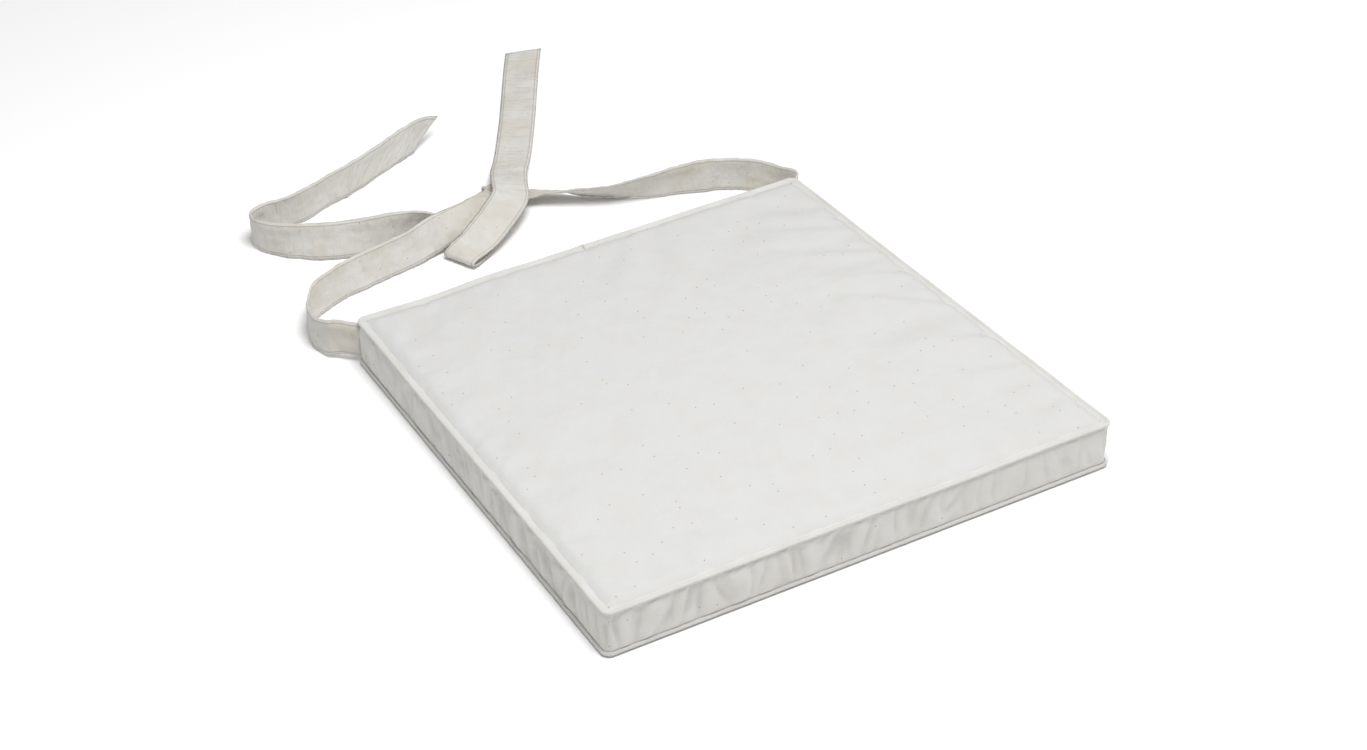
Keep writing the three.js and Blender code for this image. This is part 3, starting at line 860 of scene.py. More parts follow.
@dataclass
class Panel:
    """One of the cover's large panels, sewn in at the piping all round."""

    outline: Outline
    face: Face
    cloth: float = 0.8 * MM
    seam_inset: float = 3.6 * MM
    rise_width: float = 9.0 * MM
    top_seam_z: float = 36.9 * MM
    top_z: float = 40.35 * MM
    crown: float = 3.2 * MM
    bottom_seam_z: float = 2.4 * MM
    spacing: float = 4.0 * MM
    dome_power: float = 2.6
    shade_width: float = 2.0 * MM

    def foam_height(self, x: float, y: float) -> float:
        """Return the level of the padded surface, away from its seam."""
        across = x / self.outline.half_width(y)
        along = y / (self.outline.depth / 2)
        dome = (1 - abs(across) ** self.dome_power) * (1 - abs(along) ** self.dome_power)
        lumps = 0.45 * MM * grain(x, y, 0.06, 8.3) + 0.16 * MM * grain(x, y, 0.022, 1.7)
        return self.top_z + self.crown * dome + lumps

    def pull_lines(self, x: float, y: float) -> float:
        """Return the height of the slack folds that run in from the right-hand seam."""
        height = 0.0
        for start_y, angle, length, width, size in PULL_LINES:
            tilt = math.radians(angle)
            from_x = x - self.outline.half_width(start_y)
            from_y = y - start_y
            along = -from_x * math.cos(tilt) + from_y * math.sin(tilt)
            across = from_x * math.sin(tilt) + from_y * math.cos(tilt)
            fade = smooth_step(0.004, 0.02, along) * (1 - smooth_step(0.35, 1.0, along / length))
            bend = 3 * MM * math.sin(along / 0.03 + start_y * 40)
            ridge = hump(across, bend, width) - 0.55 * hump(across, bend + 1.8 * width, 1.2 * width)
            height += size * fade * ridge
        return height

    def place(self, u: float, v: float) -> Vector:
        """Return where a spot of the panel's grid lies, u across the pad and v up it."""
        y = v - self.outline.depth / 2
        y *= 1 - 2 * self.seam_inset / self.outline.depth
        half = self.outline.half_width(y)
        x = (u / self.outline.front_width - 0.5) * 2 * (half - self.seam_inset)
        p = self.outline.round_off(Vector((x, y, 0.0)), self.seam_inset)
        inside = self.outline.from_edge(p.x, p.y) - self.seam_inset
        rise = smooth_step(0.0, self.rise_width, inside) ** 0.8
        if self.face is Face.TOP:
            level = self.foam_height(p.x, p.y) + self.pull_lines(p.x, p.y)
            p.z = self.top_seam_z + (level - self.top_seam_z) * rise + seat_lift(p.x, p.y)
        else:
            hollow = 0.5 * MM * (0.5 + 0.5 * grain(p.x, p.y, 0.04, 5.9))
            p.z = self.bottom_seam_z * (1 - rise) + hollow * rise
        return p

    def ease(self, u: float, v: float) -> float:
        """Return how much fuller than flat the cut cloth is, most of it near the seams."""
        p = self.place(u, v)
        inside = self.outline.from_edge(p.x, p.y) - self.seam_inset
        right = 0.010 * smooth_step(0.09, 0.19, p.x)
        gather = (0.014 + 0.016 * grain(p.x, p.y, 0.05, 4.0)) * math.exp(-inside / 0.018)
        return gather + right * (0.5 + grain(p.x, p.y, 0.06, 2.5))

    def build(self, wardrobe: Wardrobe) -> None:
        """Make the panel, let it settle if it is the top one, and dress it."""
        size = (self.outline.front_width, self.outline.depth)
        steps = tuple(round(length / self.spacing) for length in size)
        name = f"{self.face.value}_cover_panel"
        laid = lay_grid(name, size, steps, self.place)
        up = Vector((0.0, 0.0, 1.0 if self.face is Face.TOP else -1.0))
        face_outwards(laid.piece, lambda _: up)
        if self.face is Face.TOP:
            edge = [0.5 * size[k] / steps[k] for k in (0, 1)]
            ClothRun(frames=24, bending=0.5, most_ease=0.04).settle(
                laid,
                self.ease,
                lambda u, v: not (
                    edge[0] < u < size[0] - edge[0] and edge[1] < v < size[1] - edge[1]
                ),
                (1.5 * MM, 1.3 * MM),
                lambda _: up,
            )
        # painted shade: a dark line in the groove along the seam, fading out over the shade width
        insides = [self.outline.from_edge(v.co.x, v.co.y) for v in laid.piece.data.vertices]
        shaded = self.shade_width
        mark_crease_shade_and_stain(
            laid.piece, [1 - smooth_step(0.0, shaded, i - self.seam_inset) for i in insides]
        )
        thicken(laid.piece, self.cloth)
        wardrobe.dress(laid.piece, PANEL_COTTON)
        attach(laid.piece, "pad")
        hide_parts(f"{self.face.value}_panel")


# place up the right side, lean, length, half-width and height of each slack fold
PULL_LINES = (
    (0.105, 24, 0.10, 4.5 * MM, 0.55 * MM),
    (0.060, 30, 0.13, 5.0 * MM, 0.75 * MM),
    (0.022, 26, 0.09, 4.0 * MM, 0.6 * MM),
    (-0.025, 34, 0.12, 5.0 * MM, 0.6 * MM),
    (-0.075, 28, 0.08, 4.5 * MM, 0.5 * MM),
    (-0.120, 20, 0.06, 4.0 * MM, 0.4 * MM),
)


@dataclass
class FoamCore:
    """The block of seat foam inside the cover."""

    outline: Outline
    inset: float = 5.2 * MM
    low_z: float = 1.4 * MM
    high_z: float = 36.6 * MM
    crown: float = 3.4 * MM
    dome_power: float = 2.6

    def build(self, wardrobe: Wardrobe) -> None:
        """Make the foam block, crowned, with its corners and edges eased."""
        bm = bmesh.new()
        bmesh.ops.create_cube(bm, size=2.0)
        bmesh.ops.subdivide_edges(bm, edges=bm.edges, cuts=19, use_grid_fill=True)
        for vert in bm.verts:
            across, along, up = vert.co
            y = along * (self.outline.depth / 2 - 1.8 * self.inset)
            x = across * (self.outline.half_width(y) - self.inset)
            middle = 1 - smooth_step(0.8, 1.0, max(abs(across), abs(along)))
            round_over = 5 * MM * smooth_step(0.75, 1.0, abs(up)) * (1 - middle)
            p = self.outline.round_off(Vector((x, y, 0.0)), self.inset + round_over)
            dome = (1 - abs(across) ** self.dome_power) * (1 - abs(along) ** self.dome_power)
            height = self.high_z + self.crown * dome
            vert.co = (p.x, p.y, self.low_z + (height - self.low_z) * (up + 1) / 2)
        bmesh.ops.recalc_face_normals(bm, faces=bm.faces)
        piece = new_piece("foam_block", bm)
        wardrobe.dress(piece, SEAT_FOAM)
        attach(piece, "pad")
        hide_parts("foam_core")


# ---------------------------------------------------------------- bands


@dataclass
class SideBand:
    """The upright band down the left, along the front and up the right."""

    outline: Outline
    cloth: float = 0.8 * MM
    low_z: float = 4.0 * MM
    high_z: float = 36.4 * MM
    seam_inset: float = 2.3 * MM
    mid_inset: float = 1.5 * MM
    end_tuck: float = 1.6 * MM
    spacing: float = 1.9 * MM
    corner_gap: float = 0.4 * MM

    def span(self) -> float:
        """Return the band's length between its two corner seams."""
        return self.outline.right_seam - 2 * self.corner_gap

    def place(self, u: float, v: float) -> Vector:
        """Return where a spot of the band lies, u along it and v up it."""
        share = v / (self.high_z - self.low_z)
        fullness = math.sin(math.pi * share) ** 0.5 if 0 < share < 1 else 0.0
        from_end = min(u, self.span() - u)
        tuck = self.end_tuck * (1 - smooth_step(0.0, 4 * MM, from_end))
        inset = self.seam_inset + (self.mid_inset - self.seam_inset) * fullness + tuck
        inset -= self.pucker(u, v) * fullness
        point = self.outline.place(u + self.corner_gap, inset, self.low_z + v)
        point.z += seat_lift(point.x, point.y) * share
        return point

    def gather(self, u: float) -> float:
        """Return how strongly the band is gathered at a place along it."""
        point, _ = self.outline.at(u)
        on_front = smooth_step(-0.15, -0.19, point.y)
        left_half = 1 - smooth_step(-0.02, 0.1, point.x)
        front = 0.45 + 0.6 * left_half
        left = smooth_step(0.0, -0.1, point.x) * (0.55 + 0.6 * smooth_step(0.1, -0.15, point.y))
        right = 0.5 * smooth_step(0.0, 0.1, point.x)
        return on_front * front + (1 - on_front) * (left + right)

    def pucker(self, u: float, v: float) -> float:
        """Return how far the cloth stands out at a spot, before it is let go."""
        share = v / (self.high_z - self.low_z)
        lean = u + 0.004 * math.sin(TURN * 0.3 * share + 5 * grain(u, 0.0, 0.08, 1.1))
        broad = grain(lean, 0.008 * share, 0.013, 2.2)
        valley = (1 - min(abs(grain(lean, 0.007 * share, 0.012, 7.7)) * 1.5, 1.0)) ** 2.2
        return self.gather(u) * (1.5 * MM * broad + 0.9 * MM - 2.3 * MM * valley)

    def ease(self, u: float) -> float:
        """Return how much longer the cut cloth is than its seam, at a place along it."""
        return 0.012 + 0.03 * self.gather(u)

    def build(self, wardrobe: Wardrobe) -> None:
        """Make the band, let it pucker between its seams and dress it."""
        size = (self.span(), self.high_z - self.low_z)
        steps = (round(size[0] / self.spacing), round(size[1] / self.spacing))
        laid = lay_grid("side_cover_band", size, steps, self.place)
        face_outwards(laid.piece, lambda c: Vector((c.x, c.y, 0.0)))
        row = 0.5 * size[1] / steps[1]
        ClothRun(frames=22, bending=0.3).settle(
            laid,
            lambda u, v: self.ease(u),
            lambda u, v: v < row or v > size[1] - row,
            (0.6 * MM, 0.6 * MM),
            self.facing,
        )
        # painted shade in the pucker valleys, strongest halfway up the band
        mark_crease_shade_and_stain(
            laid.piece,
            [
                min(max(-self.pucker(u, v) / MM, 0.0), 1.0) * hump(v / size[1], 0.5, 0.3)
                for u, v in laid.spots
            ],
        )
        thicken(laid.piece, self.cloth)
        wardrobe.dress(laid.piece, BAND_COTTON)
        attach(laid.piece, "pad")
        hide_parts("side_band")

    def facing(self, p: Vector) -> Vector:
        """Return the way the band faces at a point on it."""
        half = self.outline.depth / 2 - self.outline.radius
        wide = self.outline.half_width(p.y) - self.outline.radius
        x = max(abs(p.x) - wide, 0.0)
        y = max(abs(p.y) - half, 0.0)
        return Vector((math.copysign(x, p.x), math.copysign(y, p.y), 0.0)).normalized()


class Lip(Enum):
    """The rear band's two strips, above and below the zip."""

    UPPER = 1
    LOWER = -1


@dataclass
class RearBand:
    """One strip of the rear band, folded under along the zip and stitched to its tape."""

    outline: Outline
    lip: Lip
    cloth: float = 0.8 * MM
    zip_z: float = 20.2 * MM
    opening: float = 9.2 * MM
    far_from_zip: float = 16.2 * MM
    seam_inset: float = 2.3 * MM
    mid_inset: float = 1.4 * MM
    stitch_in: float = 3.2 * MM
    stitch_pitch: float = 2.9 * MM
    closing_from: float = 167 * MM
    closed_from: float = 174 * MM
    least_opening: float = 0.3 * MM
    fold: float = 3.0 * MM
    end_tuck: float = 1.6 * MM
    spacing: float = 2.4 * MM
    corner_gap: float = 0.4 * MM

    def span(self) -> float:
        """Return the strip's length between its two corner seams."""
        return self.outline.length - self.outline.right_seam - 2 * self.corner_gap

    def half_opening(self, u: float) -> float:
        """Return how far the lip is from the zip's middle line; the two meet past its ends."""
        off_middle = abs(u - self.span() / 2)
        closed = smooth_step(self.closing_from, self.closed_from, off_middle)
        return self.opening / 2 + (self.least_opening - self.opening / 2) * closed

    def place(self, u: float, v: float) -> Vector:
        """Return where a spot lies, u along the strip and v out from the lip's inner fold.

        The first few millimetres of v are the cloth folded under.
        """
        lip_off = self.half_opening(u)
        from_end = min(u, self.span() - u)
        tuck = self.end_tuck * (1 - smooth_step(0.0, 4 * MM, from_end))
        pucker = 0.28 * MM * grain(u, v, 0.011, 7.0 + self.lip.value)
        if v < self.fold:
            height = lip_off + (self.fold - v)
            inset = self.mid_inset + 1.0 * MM * smooth_step(0.0, 1.0 * MM, self.fold - v)
            outer = 0.0
        else:
            stretch = (self.far_from_zip - lip_off) / (self.far_from_zip - self.opening / 2)
            height = lip_off + (v - self.fold) * stretch
            share = (height - lip_off) / (self.far_from_zip - lip_off)
            full = math.cos(share * math.pi / 2) ** 0.6 if share < 1 else 0.0
            inset = self.seam_inset + (self.mid_inset - self.seam_inset) * full
            groove = hump(height - lip_off, self.stitch_in, 0.8 * MM)
            inset += 0.22 * MM * groove
            outer = min(share * 4, 1.0) * (1 - share)
        inset += tuck - pucker * outer
        z = self.zip_z + self.lip.value * height
        z += 0.25 * MM * grain(u, 0.0, 0.03, 9.0 + self.lip.value)
        return self.outline.place(self.outline.right_seam + self.corner_gap + u, inset, z)

    def build(self, wardrobe: Wardrobe) -> None:
        """Make the strip and its row of stitches."""
        name = f"rear_cover_band_{self.lip.name.lower()}"
        size = (self.span(), self.fold + self.far_from_zip - self.opening / 2)
        laid = lay_grid(name, size, (round(size[0] / self.spacing), 11), self.place)
        face_outwards(laid.piece, lambda _: Vector((0.0, 1.0, 0.0)))
        thicken(laid.piece, 0.6 * self.cloth)
        wardrobe.dress(laid.piece, BAND_COTTON)
        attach(laid.piece, "pad")
        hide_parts(f"rear_band_{self.lip.name.lower()}")
        self.stitch(wardrobe)

    def stitch(self, wardrobe: Wardrobe) -> None:
        """Sew the lip to the zip's tape."""
        margin = 12 * MM
        count = int((self.span() - 2 * margin) / self.stitch_pitch)
        row = []
        for index in range(count):
            u = margin + (index + 0.5) * self.stitch_pitch
            here, ahead = (self.place(u + d, self.fold + self.stitch_in) for d in (0.0, 0.5 * MM))
            row.append((here, ahead - here, Vector((0.0, 1.0, 0.0))))
        piece = sew(f"zip_stitches_{self.lip.name.lower()}", row, (2.2 * MM, 0.38 * MM, 0.5 * MM))
        wardrobe.dress(piece, SEWING_THREAD)
        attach(piece, "pad")


# ---------------------------------------------------------------- piping


@dataclass
class Piping:
    """Cloth wrapped round a cord and sewn between a panel and the bands."""

    outline: Outline
    face: Face
    radius: float = 1.6 * MM
    cord_radius: float = 1.0 * MM
    inset: float = 1.8 * MM
    low_z: float = 2.6 * MM
    high_z: float = 37.8 * MM
    flange: float = 5.0 * MM
    cloth: float = 0.5 * MM
    spacing: float = 2.2 * MM
    join_gap: float = 0.1 * MM
    faces_round_cover: int = 26
    faces_round_cord: int = 12

    def run(self) -> tuple[float, float]:
        """Return where the piping starts and how long it is, from a join in the rear middle."""
        rear = self.outline.length - self.outline.right_seam
        start = self.outline.right_seam + rear / 2 + self.join_gap
        return start, self.outline.length - 2 * self.join_gap

    def centre(self, u: float) -> tuple[Vector, Vector]:
        """Return the cord's middle at a distance from the join, and the way outwards."""
        start, _ = self.run()
        base, normal = self.outline.at(start + u)
        wander = 0.22 * MM * grain(base.x, base.y, 0.035, 6.6)
        z = self.high_z + seat_lift(base.x, base.y) if self.face is Face.TOP else self.low_z
        return base - normal * (self.inset + wander) + Vector((0.0, 0.0, z)), normal

    def swell(self, u: float) -> float:
        """Return the piping's radius, thicker where its two ends overlap at the join."""
        _, length = self.run()
        from_join = min(u, length - u)
        lap = 0.3 * MM * (1 - smooth_step(5 * MM, 7 * MM, from_join))
        return self.radius + lap + 0.07 * MM * grain(u, 0.0, 0.012, 1.3)

    def cover_place(self, u: float, v: float) -> Vector:
        """Return where a spot of the wrapped strip lies, v running round the cord."""
        centre, normal = self.centre(u)
        radius = self.swell(u)
        girth = TURN * self.radius
        root = 0.28
        if v < self.flange:
            angle, out = math.pi - root, self.flange - v
        elif v > self.flange + girth:
            angle, out = -math.pi + root, v - self.flange - girth
        else:
            share = (v - self.flange) / girth
            angle, out = (math.pi - root) * (1 - 2 * share), 0.0
        bias = 0.06 * MM * math.sin(TURN * (u + 0.8 * v) / (3.1 * MM)) * (1.0 if out == 0.0 else 0.0)
        r = radius + bias
        x, z = r * math.cos(angle) - out, r * math.sin(angle)
        if self.face is Face.BOTTOM:
            z = max(z, -self.low_z + 0.1 * MM)
        return centre + normal * x + Vector((0.0, 0.0, z))

    def cord_place(self, u: float, v: float) -> Vector:
        """Return where a spot of the twisted filler cord lies."""
        centre, normal = self.centre(u)
        girth = TURN * self.cord_radius
        angle = TURN * v / girth
        twist = TURN * u / (9 * MM)
        r = self.cord_radius * (0.93 + 0.09 * abs(math.cos(1.5 * (angle - twist))))
        _, length = self.run()
        r *= math.sqrt(min(min(u, length - u) / (1.0 * MM), 1.0))
        return centre + normal * (r * math.cos(angle)) + Vector((0.0, 0.0, r * math.sin(angle)))

    def build(self, wardrobe: Wardrobe) -> None:
        """Make the wrapped cloth and the cord inside it."""
        _, length = self.run()
        steps = round(length / self.spacing)
        girth = TURN * self.radius
        width = girth + 2 * self.flange
        cover = lay_grid(
            f"{self.face.value}_piping",
            (length, width),
            (steps, self.faces_round_cover),
            self.cover_place,
        )
        face_outwards(cover.piece, self.away)
        thicken(cover.piece, self.cloth, smoothed=False)
        wardrobe.dress(cover.piece, PIPING_COTTON)
        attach(cover.piece, "pad")
        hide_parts(f"{self.face.value}_piping_cover")
        cord = lay_grid(
            f"{self.face.value}_filler_cord",
            (length, TURN * self.cord_radius),
            (steps, self.faces_round_cord),
            self.cord_place,
        )
        close_tube(cord.piece)
        wardrobe.dress(cord.piece, FILLER_CORD)
        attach(cord.piece, "pad")
        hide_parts(f"{self.face.value}_piping_cord")

    def away(self, point: Vector) -> Vector:
        """Return roughly the way out of the pad, and off its face, at a point."""
        up = 1.0 if self.face is Face.TOP else -1.0
        return Vector((point.x, point.y, 0.0)).normalized() + Vector((0.0, 0.0, 0.2 * up))


# ---------------------------------------------------------------- zip


@dataclass
class Zip:
    """Nylon-coil zip: tapes, coils, stops, slider and pull."""

    half_length: float = 165 * MM
    middle_y: float = 198.6 * MM
    middle_z: float = 20.2 * MM
    pitch: float = 1.45 * MM
    wire: float = 0.34 * MM
    height: float = 2.5 * MM
    depth: float = 1.5 * MM
    spacing: float = 1.4 * MM
    points_per_turn: int = 12

    def coil_line(self, side: int, turns: float) -> Vector:
        """Return a point along one coil's wire, counted in turns from its left end."""
        angle = TURN * turns
        x = -self.half_length + self.wire + (turns + (0.5 if side < 0 else 0.0)) * self.pitch
        lean = 0.28 * self.pitch * math.sin(angle)
        z = self.spacing / 2 + self.height / 2 - (self.height / 2 - self.wire) * math.cos(angle)
        y = self.middle_y + (self.depth / 2 - self.wire) * math.sin(angle)
        return Vector((x + lean, y, self.middle_z + side * z))

    def build_coil(self, side: int, wardrobe: Wardrobe) -> None:
        """Make one row's coil from a single bent wire."""
        turns = int(2 * self.half_length / self.pitch) - 1
        steps = turns * self.points_per_turn

        def place(u: float, v: float) -> Vector:
            """Return a spot on the wire's skin, u in turns along it and v in turns round it."""
            here = self.coil_line(side, u)
            along = (self.coil_line(side, u + 0.01) - here).normalized()
            across = along.cross(Vector((1.0, 0.0, 0.0))).normalized()
            other = along.cross(across)
            pinch = math.sqrt(min(min(u, turns - u) * self.points_per_turn, 1.0))
            r = self.wire * pinch
            return here + across * (r * math.cos(TURN * v)) + other * (r * math.sin(TURN * v))

        where = "upper" if side > 0 else "lower"
        coil = lay_grid(f"zip_teeth_{where}", (turns, 1.0), (steps, 5), place)
        close_tube(coil.piece)
        wardrobe.dress(coil.piece, ZIP_NYLON)
        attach(coil.piece, "pad")
        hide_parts(f"zip_coil_{where}")

    def build(self, wardrobe: Wardrobe) -> None:
        """Make both coils, and give the tapes, stops, slider and pull their finishes."""
        for side in (1, -1):
            self.build_coil(side, wardrobe)
        for node in ("zip_tape_upper", "zip_tape_lower"):
            wardrobe.dress(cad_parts[node], ZIP_TAPE)
        metal = {
            "zip_slider": ("slider", 0.25 * MM),
            "zip_pull_tab": ("pull", 0.3 * MM),
            "zip_top_stop_upper": ("pad", 0.35 * MM),
            "zip_top_stop_lower": ("pad", 0.35 * MM),
            "zip_bottom_stop": ("pad", 0.35 * MM),
        }
        for node, (body, radius) in metal.items():
            piece = rounded_copy(node, f"{node}_rounded", radius)
            wardrobe.dress(piece, ZIP_METAL)
            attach(piece, body)
            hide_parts(node)


# ---------------------------------------------------------------- ties

UP: Triple = (0, 0, 1)
ON_EDGE_Z = 0.0158
FULL_WIDTH = 30 * MM

# middle of the strap, the way its width points, and its gathered width
LEFT_ROUTE: Route = (
    ((-0.2105, 0.2170, 0.0176), UP, FULL_WIDTH),
    ((-0.2140, 0.2300, ON_EDGE_Z), UP, FULL_WIDTH),
    ((-0.2110, 0.2470, ON_EDGE_Z), UP, FULL_WIDTH),
    ((-0.2035, 0.2605, ON_EDGE_Z), (-0.04, 0.04, 1), FULL_WIDTH),
    ((-0.1890, 0.2720, ON_EDGE_Z), (-0.08, 0.14, 0.98), FULL_WIDTH),
    ((-0.1620, 0.2830, 0.0156), (-0.08, 0.2, 0.97), FULL_WIDTH),
    ((-0.1300, 0.2895, 0.0156), (-0.08, 0.24, 0.97), FULL_WIDTH),
    ((-0.1010, 0.2950, 0.0156), (-0.11, 0.28, 0.95), FULL_WIDTH),
    ((-0.0770, 0.3025, 0.0158), (-0.2, 0.42, 0.88), FULL_WIDTH),
    ((-0.0500, 0.3120, 0.0162), (-0.4, 0.72, 0.55), 0.026),
    ((-0.0260, 0.3230, 0.0166), (-0.5, 0.83, 0.2), 0.020),
    ((-0.0080, 0.3335, 0.0154), (-0.8, 0.6, 0), 0.018),
    ((0.0010, 0.3420, 0.0130), (-0.95, 0.3, 0), 0.018),
    ((0.0034, 0.3495, 0.0114), (-0.97, 0.25, 0), 0.018),
    ((0.0046, 0.3535, 0.0074), (-0.97, 0.25, 0), 0.018),
    ((0.0034, 0.3495, 0.0034), (-0.97, 0.25, 0), 0.018),
    ((0.0010, 0.3420, 0.0020), (-0.97, 0.25, 0), 0.018),
    ((-0.0060, 0.3300, 0.0020), (-0.85, 0.52, 0), 0.018),
    ((-0.0200, 0.3110, 0.0020), (-0.77, 0.64, 0), 0.021),
    ((-0.0330, 0.2955, 0.0020), (-0.64, 0.77, 0), 0.025),
    ((-0.0460, 0.2865, 0.0020), (-0.5, 0.86, 0), 0.028),
    ((-0.0600, 0.2795, 0.0022), (-0.42, 0.9, 0), FULL_WIDTH),
    ((-0.0655, 0.2769, 0.0032), (-0.42, 0.9, 0), FULL_WIDTH),
    ((-0.0672, 0.2761, 0.0054), (-0.42, 0.9, 0), FULL_WIDTH),
    ((-0.0655, 0.2768, 0.0076), (-0.42, 0.9, 0), FULL_WIDTH),
    ((-0.0600, 0.2790, 0.0088), (-0.42, 0.9, 0.03), FULL_WIDTH),
    ((-0.0450, 0.2845, 0.0118), (-0.48, 0.83, 0.2), FULL_WIDTH),
    ((-0.0200, 0.2985, 0.0180), (-0.53, 0.8, 0.3), FULL_WIDTH),
    ((0.0010, 0.3160, 0.0206), (-0.64, 0.72, 0.22), FULL_WIDTH),
    ((0.0130, 0.3400, 0.0190), (-0.8, 0.6, 0.06), FULL_WIDTH),
    ((0.0260, 0.3640, 0.0110), (-0.85, 0.53, 0), FULL_WIDTH),
    ((0.0420, 0.3880, 0.0050), (-0.85, 0.53, 0), FULL_WIDTH),
    ((0.0740, 0.4385, 0.0016), (-0.85, 0.53, 0), FULL_WIDTH),
    ((0.1193, 0.5132, 0.0012), (-0.85, 0.53, 0), FULL_WIDTH),
    ((0.1405, 0.5470, 0.0012), (-0.85, 0.53, 0), FULL_WIDTH),
)
RIGHT_ROUTE: Route = (
    ((0.2025, 0.2210, 0.0176), UP, FULL_WIDTH),
    ((0.1985, 0.2330, ON_EDGE_Z), UP, FULL_WIDTH),
    ((0.1910, 0.2455, ON_EDGE_Z), UP, FULL_WIDTH),
    ((0.1795, 0.2565, ON_EDGE_Z), UP, FULL_WIDTH),
    ((0.1650, 0.2645, ON_EDGE_Z), UP, FULL_WIDTH),
    ((0.1480, 0.2705, ON_EDGE_Z), UP, FULL_WIDTH),
    ((0.1260, 0.2755, ON_EDGE_Z), (-0.08, -0.15, 0.98), FULL_WIDTH),
    ((0.1040, 0.2805, 0.0146), (-0.18, -0.33, 0.93), FULL_WIDTH),
    ((0.0780, 0.2935, 0.0120), (-0.32, -0.57, 0.75), FULL_WIDTH),
    ((0.0560, 0.3080, 0.0106), (-0.38, -0.66, 0.64), 0.028),
    ((0.0360, 0.3220, 0.0090), (-0.35, -0.8, 0.4), 0.024),
    ((0.0180, 0.3300, 0.0076), (-0.2, -0.95, 0.12), 0.018),
    ((0.0000, 0.3310, 0.0070), (0, -1, 0), 0.015),
    ((-0.0180, 0.3280, 0.0072), (0.1, -0.97, 0.2), 0.016),
    ((-0.0360, 0.3260, 0.0084), (0.12, -0.9, 0.35), 0.018),
    ((-0.0580, 0.3270, 0.0108), (0.1, -0.68, 0.72), 0.022),
    ((-0.0800, 0.3270, 0.0146), (-0.02, -0.05, 1), 0.027),
    ((-0.1040, 0.3280, 0.0152), (-0.1, 0.3, 0.95), FULL_WIDTH),
    ((-0.1270, 0.3325, 0.0148), (-0.15, 0.4, 0.91), FULL_WIDTH),
    ((-0.1500, 0.3400, 0.0152), (-0.18, 0.4, 0.9), FULL_WIDTH),
    ((-0.1690, 0.3510, 0.0156), (-0.2, 0.33, 0.92), FULL_WIDTH),
    ((-0.1840, 0.3630, 0.0157), (-0.17, 0.2, 0.96), FULL_WIDTH),
    ((-0.1920, 0.3760, 0.0158), (-0.1, 0.05, 0.99), FULL_WIDTH),
    ((-0.1925, 0.3870, ON_EDGE_Z), UP, FULL_WIDTH),
    ((-0.1840, 0.3925, ON_EDGE_Z), UP, FULL_WIDTH),
    ((-0.1650, 0.3930, ON_EDGE_Z), UP, FULL_WIDTH),
    ((-0.1420, 0.3965, ON_EDGE_Z), UP, FULL_WIDTH),
    ((-0.1170, 0.4055, ON_EDGE_Z), UP, FULL_WIDTH),
    ((-0.0920, 0.4130, ON_EDGE_Z), UP, FULL_WIDTH),
    ((-0.0520, 0.4300, ON_EDGE_Z), UP, FULL_WIDTH),
    ((-0.0320, 0.4385, ON_EDGE_Z), UP, FULL_WIDTH),
    ((-0.0185, 0.4440, 0.0154), UP, FULL_WIDTH),
    ((-0.0060, 0.4500, 0.0114), UP, FULL_WIDTH),
    ((0.0060, 0.4565, 0.0042), UP, FULL_WIDTH),
)


def curve_point(knots: Sequence[Vector], t: float) -> Vector:
    """Return a point on the smooth curve through the knots, t from 0 to 1.

    Args:
        knots: the points that the curve passes through.
        t: the share of the way, each span between knots counting the same.

    Returns:
        The point.
    """
    place = min(max(t, 0.0), 1.0) * (len(knots) - 1)
    i = min(int(place), len(knots) - 2)
    w = place - i
    p1, p2 = knots[i], knots[i + 1]
    p0 = knots[i - 1] if i > 0 else 2 * p1 - p2
    p3 = knots[i + 2] if i + 2 < len(knots) else 2 * p2 - p1
    d1 = math.sqrt((p2 - p1).length) or 1.0
    d0 = math.sqrt((p1 - p0).length) or d1
    d2 = math.sqrt((p3 - p2).length) or d1
    m1 = ((p1 - p0) / d0 - (p2 - p0) / (d0 + d1) + (p2 - p1) / d1) * d1
    m2 = ((p2 - p1) / d1 - (p3 - p1) / (d1 + d2) + (p3 - p2) / d2) * d1
    bend = 2 * p1 - 2 * p2 + m1 + m2
    sweep = -3 * p1 + 3 * p2 - 2 * m1 - m2
    return ((bend * w + sweep) * w + m1) * w + p1


class Side(Enum):
    """The two ties, named by the rear corner that holds them."""

    LEFT = "left"
    RIGHT = "right"


